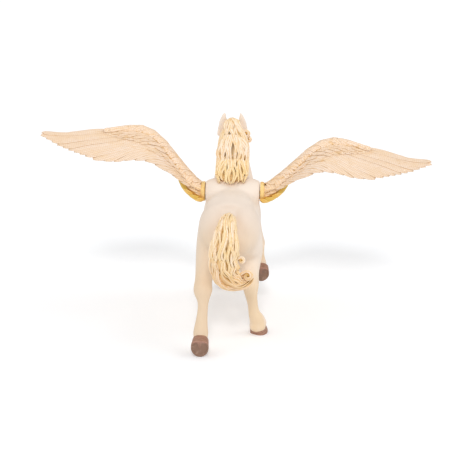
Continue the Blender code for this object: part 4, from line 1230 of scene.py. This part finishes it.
# The band's rounded edge, as a share of its thickness and how far it draws in, in mm
BAND_EDGE = ((0.0, 0.5), (0.04, 0.15), (0.12, 0.0), (0.6, 0.0), (0.85, 0.25), (0.97, 0.7), (1.0, 1.2))


def flange(name, turn):
    """The yellow band at the root, which seats on the shoulder pad."""
    inner = WING_PAD_X + SEAT_GAP
    rings = []
    for share, inset in BAND_EDGE:
        centre = Vector((turn * (inner + share * FLANGE_THICKNESS), WING_ROOT_Y, WING_ROOT_Z))
        height = FLANGE_HALF_HEIGHT - inset * MM
        rings.append(oval(centre, Y_AXIS, Z_AXIS, FLANGE_HALF_LENGTH - inset * MM, height, height, 64))
    return skin(name, rings)


def placed_wing(obj, name, turn, raise_angle):
    """A copy of a wing piece, mirrored for the left side and raised or lowered at the shoulder."""
    mesh = obj.data.copy()
    raised = Matrix.Rotation(-raise_angle, 4, "Y")
    placed = Matrix.Translation(Vector((WING_PAD_X + SEAT_GAP, WING_ROOT_Y, WING_ROOT_Z))) @ raised
    mesh.transform(Matrix.Diagonal((turn, 1, 1, 1)) @ placed)
    if turn < 0:
        mesh.flip_normals()
    return new_object(name, mesh)


def wing_pieces():
    """One wing's pieces about its root, with the recesses worked out once for both sides."""
    pieces = {
        "arm": arm(),
        "flight_feathers": feather_rows("flight", FLIGHT_ROWS, 21),
        "covert_feathers": feather_rows("coverts", COVERT_ROWS, 22, draped_height),
        "under_feathers": feather_rows("under", UNDER_ROWS, 23),
        "down": down(),
    }
    tree = tree_of(pieces.values())
    for piece in pieces.values():
        shade_recesses(piece, tree, FEATHER_RECESS)
    return pieces


# Materials


class Paint:
    """A node material, built a node at a time."""

    def __init__(self, name):
        self.material = bpy.data.materials.new(name)
        self.material.use_nodes = True
        self.tree = self.material.node_tree
        self.shader = self.tree.nodes["Principled BSDF"]
        self.shader.inputs["Specular IOR Level"].default_value = 0.35

    def node(self, kind, inputs=(), **settings):
        node = self.tree.nodes.new("ShaderNode" + kind)
        for key, value in settings.items():
            setattr(node, key, value)
        for key, value in dict(inputs).items():
            self.feed(node.inputs[key], value)
        return node

    def feed(self, socket, value):
        if isinstance(value, bpy.types.NodeSocket):
            self.tree.links.new(value, socket)
        else:
            socket.default_value = value

    def sum(self, operation, first, second=0.0, third=0.0):
        node = self.node("Math", {0: first, 1: second, 2: third}, operation=operation)
        return node.outputs[0]

    def times(self, first, second):
        return self.sum("MULTIPLY", first, second)

    def spread(self, value, low, high, to_low=0.0, to_high=1.0):
        """A value's range from low to high, eased and stretched to another range."""
        inputs = {"Value": value, "From Min": low, "From Max": high, "To Min": to_low, "To Max": to_high}
        return self.node("MapRange", inputs, interpolation_type="SMOOTHSTEP").outputs[0]

    def ground(self, share, first, second):
        """The lowest colour, between two by share."""
        self.color = srgb(*first)
        self.layer(share, 1.0, second)

    def layer(self, share, amount, tint):
        """Lays a colour over those so far, by share times amount."""
        node = self.node("Mix", data_type="RGBA")
        self.feed(node.inputs[0], share if amount == 1.0 else self.times(share, amount))
        self.feed(node.inputs[6], self.color)
        self.feed(node.inputs[7], srgb(*tint))
        self.color = node.outputs[2]

    def wash(self, value, low, high, amount, tint):
        """Lays a colour where a value goes from low to high."""
        self.layer(self.spread(value, low, high), amount, tint)

    def noise(self, scale, detail=3.0, roughness=0.55, stretch=(1, 1, 1)):
        place = self.node("TexCoord").outputs["Object"]
        mapped = self.node("Mapping", {"Vector": place, "Scale": stretch}).outputs[0]
        inputs = {"Vector": mapped, "Scale": scale, "Detail": detail, "Roughness": roughness}
        return self.node("TexNoise", inputs).outputs["Fac"]

    def place(self):
        """The x, y and z of the point being painted, in metres."""
        return self.node("SeparateXYZ", {0: self.node("TexCoord").outputs["Object"]}).outputs

    def near(self, spot, reach):
        """How close the point being painted is to a spot on the horse: 1 at the spot, 0 at the reach."""
        place = self.node("TexCoord").outputs["Object"]
        away = self.node("VectorMath", {0: place, 1: spot + FIGURE_SHIFT}, operation="DISTANCE")
        return self.spread(away.outputs["Value"], reach, 0.3 * reach)

    def trait(self, name):
        """The three numbers stored at each vertex under this name."""
        attribute = self.node("Attribute", attribute_name=name)
        return self.node("SeparateXYZ", {0: attribute.outputs["Vector"]}).outputs

    def recess(self):
        """How closed in each vertex is."""
        return self.trait("recess")[0]

    def near_body(self):
        """How near the point being painted is to the middle of the horse, out along a wing."""
        across = self.sum("ABSOLUTE", self.sum("ADD", self.place()[0], -FIGURE_SHIFT.x))
        return self.spread(across, 0.040, 0.020)

    def finish(self, roughness, height=None, depth=0.0002, strength=0.5):
        self.feed(self.shader.inputs["Base Color"], self.color)
        self.feed(self.shader.inputs["Roughness"], roughness)
        if height is not None:
            bump = self.node("Bump", {"Height": height, "Strength": strength, "Distance": depth})
            self.feed(self.shader.inputs["Normal"], bump.outputs[0])
        return self.material


def skin_paint():
    """Cream vinyl, warm on the legs and near the tail, with painted shade on the legs, the rump, the left
    haunch, the croup and in the folds, and a rosy grey muzzle.
    """
    paint = Paint("cream_skin")
    x, y, z = paint.place()
    mottle = paint.noise(55, 4)
    paint.ground(mottle, (238, 222, 206), (246, 232, 218))
    # Legs: a warmer tone of the vinyl, also darkened as painted shade
    legs = paint.spread(paint.sum("MULTIPLY_ADD", mottle, 0.016, z), 0.062, 0.030)
    paint.layer(legs, 0.75, (239, 218, 194))
    streaks = paint.spread(paint.noise(95, 5, 0.6, (1, 1, 0.18)), 0.48, 0.66)
    paint.layer(paint.times(streaks, legs), 0.55, (233, 202, 155))
    # Rear of the rump: a tan tone near the tail, deepened as painted shade on the rear-facing buttocks
    rump = paint.times(paint.spread(y, -0.022, -0.040), paint.spread(z, 0.078, 0.056))
    paint.layer(rump, 0.45, (232, 202, 164))
    behind = paint.spread(y, -0.010, -0.036)
    # Painted shade, warm-toned, on the rear of the left haunch and gaskin
    haunch = paint.times(paint.spread(z, 0.072, 0.054), paint.spread(x, 0.016, -0.004))
    paint.layer(paint.times(behind, haunch), 0.6, (224, 199, 168))
    # Painted shade that darkens the upper rear of the croup
    croup = paint.spread(z, 0.054, 0.072)
    paint.layer(paint.times(behind, croup), 0.6, (225, 207, 191))
    # Painted shade in the folds and creases, where the skin is closed in
    paint.wash(paint.recess(), 0.05, 0.75, 0.5, (216, 176, 128))
    paint.layer(paint.near(ERGOT, ERGOT_REACH), 0.6, (176, 150, 96))
    muzzle = paint.times(paint.spread(y, 0.0535, 0.0615), paint.spread(z, 0.088, 0.078))
    paint.layer(muzzle, 0.45, (196, 160, 146))
    roughness = paint.spread(mottle, 0.3, 0.7, 0.50, 0.60)
    return paint.finish(roughness, paint.noise(900, 3), 0.00008, 0.35)


def hair_paint():
    """Pale blond locks with golden-brown paint left in the grooves between them, darkened further as
    painted shade where the grooves close in.
    """
    paint = Paint("blond_hair")
    ridge, share, tint = paint.trait("trait")
    y, z = paint.place()[1:]
    recess = paint.recess()
    paint.ground(tint, (250, 226, 184), (254, 236, 216))
    paint.wash(paint.noise(180, 4), 0.40, 0.70, 0.5, (242, 206, 142))
    withers = paint.times(paint.spread(z, 0.090, 0.080), paint.spread(y, 0.005, 0.012))
    paint.layer(withers, 0.45, (250, 222, 158))
    low_tail = paint.spread(z, 0.052, 0.042)
    paint.layer(low_tail, 0.55, (234, 194, 152))
    paint.wash(paint.noise(620, 3), 0.52, 0.66, 0.5, (236, 196, 128))
    curl = paint.times(paint.spread(tint, 1.0, CURL_TINT), paint.spread(share, 0.35, 0.95))
    paint.layer(curl, 1.0, (200, 150, 62))
    # Grooves between the ridges of a lock: golden-brown wash and painted shade
    paint.wash(ridge, 0.55, 0.05, 0.5, (224, 174, 92))
    # Closed-in gaps between locks: golden wash, darkening to painted shade in the deepest gaps
    paint.wash(recess, 0.15, 0.60, 0.42, (232, 190, 110))
    paint.wash(recess, 0.50, 0.95, 0.85, (178, 132, 58))
    height = paint.sum("ADD", ridge, paint.times(paint.noise(500, 3), 0.6))
    return paint.finish(paint.spread(recess, 0.0, 0.8, 0.48, 0.66), height, 0.00015, 0.5)


# wash sets how strongly the overlaps take the golden wash and painted shade
def feather_paint(name, wash, speckle):
    """Pale vanes with fine lines and slanting barbs drawn in golden wash and painted shade over their
    grooves, and golden wash deepened by painted shade where feathers overlap.
    """
    paint = Paint(name)
    across, along, tint = paint.trait("trait")
    recess = paint.recess()
    paint.ground(tint, (249, 225, 202), (251, 231, 214))
    paint.wash(paint.noise(90, 4), 0.4, 0.7, 0.45, (247, 216, 178))
    waver = paint.times(paint.noise(240, 2), 1.4)
    # Fine grooves along the vane, darkened with a golden wash and painted shade
    lines = paint.sum("SINE", paint.sum("MULTIPLY_ADD", across, 15.0, waver))
    paint.wash(lines, 0.1, -0.9, 0.48, (230, 184, 124))
    slant = paint.sum("MULTIPLY_ADD", paint.sum("ABSOLUTE", across), -1.2, along)
    # Slanting barbs, their grooves darkened the same way
    barbs = paint.sum("SINE", paint.sum("MULTIPLY_ADD", slant, 5.6, waver))
    paint.wash(barbs, 0.2, -0.9, 0.34, (234, 190, 136))
    flecks = paint.noise(330, 3, 0.6, (0.6, 1, 1))
    paint.wash(flecks, 0.55, 0.68, speckle, (234, 192, 134))
    paint.layer(paint.near_body(), 0.14, (243, 212, 168))
    # Where feathers overlap: golden wash, deepened as painted shade
    paint.wash(recess, 0.08, 0.55, 0.36 * wash, (236, 196, 138))
    paint.wash(recess, 0.45, 0.90, 0.80 * wash, (204, 150, 72))
    height = paint.sum("ADD", paint.times(barbs, 0.3), paint.times(lines, 0.5))
    height = paint.sum("ADD", height, paint.noise(700, 2))
    return paint.finish(paint.spread(recess, 0.0, 0.8, 0.50, 0.66), height, 0.00014, 0.6)


def arm_paint():
    """The arm's skin, cream at the wrist and golden towards the body."""
    paint = Paint("wing_arm")
    paint.ground(paint.near_body(), (246, 221, 192), (242, 208, 152))
    paint.wash(paint.noise(160, 4), 0.4, 0.7, 0.5, (236, 198, 144))
    # Golden wash with painted shade where the arm is closed in by the feathers
    paint.wash(paint.recess(), 0.1, 0.8, 0.85, (208, 154, 76))
    return paint.finish(0.58, paint.noise(420, 4), 0.0003, 0.6)


def band_paint():
    """The band at the wing's root, in soft yellow with browner patches."""
    paint = Paint("yellow_band")
    patches = paint.spread(paint.noise(230, 4), 0.35, 0.7)
    paint.ground(patches, (246, 214, 144), (236, 190, 118))
    return paint.finish(0.56, paint.noise(500, 3), 0.0002, 0.5)


def down_paint():
    """Curled down in bright yellow, with a brown wash and painted shade between the curls."""
    paint = Paint("yellow_down")
    ridge, share, tint = paint.trait("trait")
    paint.ground(paint.spread(share, 0.0, 1.0), (228, 180, 86), (246, 214, 138))
    paint.wash(tint, 0.6, 0.9, 0.5, (212, 186, 76))
    paint.wash(tint, 1.0, PALE_TINT, 1.0, (250, 222, 186))
    # The strand in the crease under the arm: brown wash and painted shade
    paint.wash(tint, 0.0, CREASE_WASH_AND_SHADE_TINT, 1.0, (176, 112, 34))
    # Grooves of each lock: golden wash and painted shade
    paint.wash(ridge, 0.5, 0.0, 0.5, (222, 168, 72))
    # Between the curls: brown wash, deepened as painted shade
    paint.wash(paint.recess(), 0.3, 0.95, 0.9, (168, 112, 44))
    return paint.finish(0.58, ridge, 0.00015, 0.5)


def hoof_paint():
    """Brown horn with growth rings, a darker band at the top, worn soles and paler heels."""
    paint = Paint("brown_hoof")
    share, along, frog = paint.trait("trait")
    mottle = paint.noise(240, 4)
    paint.ground(mottle, (146, 106, 86), (188, 142, 118))
    rings = paint.sum("SINE", paint.sum("MULTIPLY_ADD", share, 24.0, paint.times(mottle, 4.0)))
    paint.wash(rings, 0.0, 1.0, 0.4, (104, 76, 66))
    paint.wash(share, 0.16, 0.0, 0.5, (120, 88, 76))
    paint.wash(share, 0.985, 1.0, 0.6, (136, 110, 92))
    heel = paint.times(paint.spread(along, -0.50, -0.80), paint.spread(share, 0.9, 1.0))
    paint.layer(heel, 0.8, (186, 138, 120))
    paint.layer(frog, 0.45, (166, 122, 104))
    paint.wash(paint.noise(420, 4, 0.6), 0.5, 0.75, 0.5, (190, 160, 142))
    height = paint.sum("ADD", paint.times(rings, 0.4), paint.noise(600, 3))
    return paint.finish(0.52, height, 0.0002, 0.6)


def eye_paint():
    """Glossy dark brown, a little mottled."""
    paint = Paint("dark_eye")
    paint.ground(paint.noise(900, 2), (30, 20, 16), (58, 36, 26))
    paint.shader.inputs["Coat Weight"].default_value = 0.6
    return paint.finish(0.16)


# Floor, light and camera

FLOOR_COLOR = (0.965, 0.975, 0.99, 1)
WHITE = (1, 1, 1, 1)

# What the camera sees of the floor beyond its own light, so that only the shadow is darker than white
FLOOR_GLOW = 0.075

# How strongly the studio lights the horse from all round
WORLD_LIGHT = 0.66


def fresh_nodes(owner, *kinds):
    """The links of a material or world, and new nodes of these kinds in place of its own."""
    owner.use_nodes = True
    owner.node_tree.nodes.clear()
    return owner.node_tree.links, *(owner.node_tree.nodes.new("ShaderNode" + kind) for kind in kinds)


def white_floor():
    """A plain white floor that keeps the figurine's shadow."""
    bm = bmesh.new()
    bmesh.ops.create_grid(bm, x_segments=2, y_segments=2, size=6.0)
    floor = from_bmesh("floor", bm)
    material = bpy.data.materials.new("white_floor")
    links, diffuse, glow, rays, level, both, output = fresh_nodes(
        material, "BsdfDiffuse", "Emission", "LightPath", "Math", "AddShader", "OutputMaterial"
    )
    diffuse.inputs["Color"].default_value = FLOOR_COLOR
    level.operation = "MULTIPLY"
    level.inputs[1].default_value = FLOOR_GLOW
    links.new(rays.outputs["Is Camera Ray"], level.inputs[0])
    links.new(level.outputs[0], glow.inputs["Strength"])
    links.new(diffuse.outputs[0], both.inputs[0])
    links.new(glow.outputs[0], both.inputs[1])
    links.new(both.outputs[0], output.inputs["Surface"])
    floor.data.materials.append(material)


def white_world():
    """Soft light from all round, which the camera sees as plain white."""
    world = bpy.data.worlds.new("studio")
    bpy.context.scene.world = world
    links, light, seen, rays, mix, output = fresh_nodes(
        world, "Background", "Background", "LightPath", "MixShader", "OutputWorld"
    )
    light.inputs["Color"].default_value = WHITE
    light.inputs["Strength"].default_value = WORLD_LIGHT
    seen.inputs["Color"].default_value = WHITE
    links.new(rays.outputs["Is Camera Ray"], mix.inputs[0])
    links.new(light.outputs[0], mix.inputs[1])
    links.new(seen.outputs[0], mix.inputs[2])
    links.new(mix.outputs[0], output.inputs["Surface"])


def far_lamp(name, direction, strength, spread):
    """A lamp so far away that it lights the floor evenly, as wide in the sky as the spread in degrees."""
    lamp = bpy.data.lights.new(name, "SUN")
    lamp.energy = strength
    lamp.angle = math.radians(spread)
    obj = new_object(name, lamp)
    obj.rotation_mode = "QUATERNION"
    obj.rotation_quaternion = direction.to_track_quat("Z", "Y")


# The lamps, as the way to each, its strength and its width in the sky in degrees
LAMPS = {
    "key": ((0.02, -1.0, 0.84), 0.97, 14),
    "left_side": ((-0.8, 0.0, 0.75), 0.26, 40),
    "right_side": ((0.8, 0.0, 0.75), 0.48, 40),
}


def lights():
    for name, (direction, strength, spread) in LAMPS.items():
        far_lamp(name, Vector(direction), strength, spread)


# The camera's place about the point it looks at, and its focal length in pixels of the photo
CAMERA_ELEVATION = math.radians(17)
CAMERA_AZIMUTH = math.radians(2)
CAMERA_DISTANCE = 0.650
CAMERA_TARGET = at(1.9, 0, 48.5) + FIGURE_SHIFT
FOCAL_PIXELS = 1163
PHOTO_PIXELS = 470
SENSOR_WIDTH = 36


def camera():
    """A long lens behind the horse, a little to its right and above its back, as in the photo."""
    back = Vector((
        math.sin(CAMERA_AZIMUTH) * math.cos(CAMERA_ELEVATION),
        -math.cos(CAMERA_AZIMUTH) * math.cos(CAMERA_ELEVATION),
        math.sin(CAMERA_ELEVATION),
    ))
    lens = bpy.data.cameras.new("photo_camera")
    lens.sensor_width = SENSOR_WIDTH
    lens.lens = FOCAL_PIXELS * SENSOR_WIDTH / PHOTO_PIXELS
    lens.clip_start = 0.01
    obj = new_object("photo_camera", lens)
    obj.location = CAMERA_TARGET + back * CAMERA_DISTANCE
    obj.rotation_mode = "QUATERNION"
    obj.rotation_quaternion = back.to_track_quat("Z", "Y")
    bpy.context.scene.camera = obj


def main():
    bpy.context.scene.view_settings.view_transform = "Standard"
    camera()
    white_floor()
    white_world()
    lights()

    horse, manes, tails, hooves = horse_skin(), mane(), tail(), all_hooves()
    tree = tree_of([horse, manes, tails, hooves])
    for piece, reach in ((horse, SKIN_RECESS), (manes, HAIR_RECESS), (tails, HAIR_RECESS)):
        shade_recesses(piece, tree, reach)
    finish_piece(horse, skin_paint(), "body")
    hair = hair_paint()
    finish_piece(manes, hair)
    finish_piece(tails, hair)
    finish_piece(hooves, hoof_paint())
    finish_piece(eyes(), eye_paint())

    pieces = wing_pieces()
    coverts = feather_paint("covert_feather", 1.0, 0.6)
    paints = {
        "arm": arm_paint(),
        "flight_feathers": feather_paint("flight_feather", 0.35, 0.25),
        "covert_feathers": coverts,
        "under_feathers": coverts,
        "down": down_paint(),
    }
    band = band_paint()
    for side, turn, angle in (("left", -1, LEFT_WING_RAISE), ("right", 1, RIGHT_WING_RAISE)):
        wing = side + "_wing"
        finish_piece(flange(side + "_band", turn), band, wing)
        for name, piece in pieces.items():
            finish_piece(placed_wing(piece, f"{side}_{name}", turn, angle), paints[name], None)
    for piece in pieces.values():
        bpy.data.objects.remove(piece)


main()
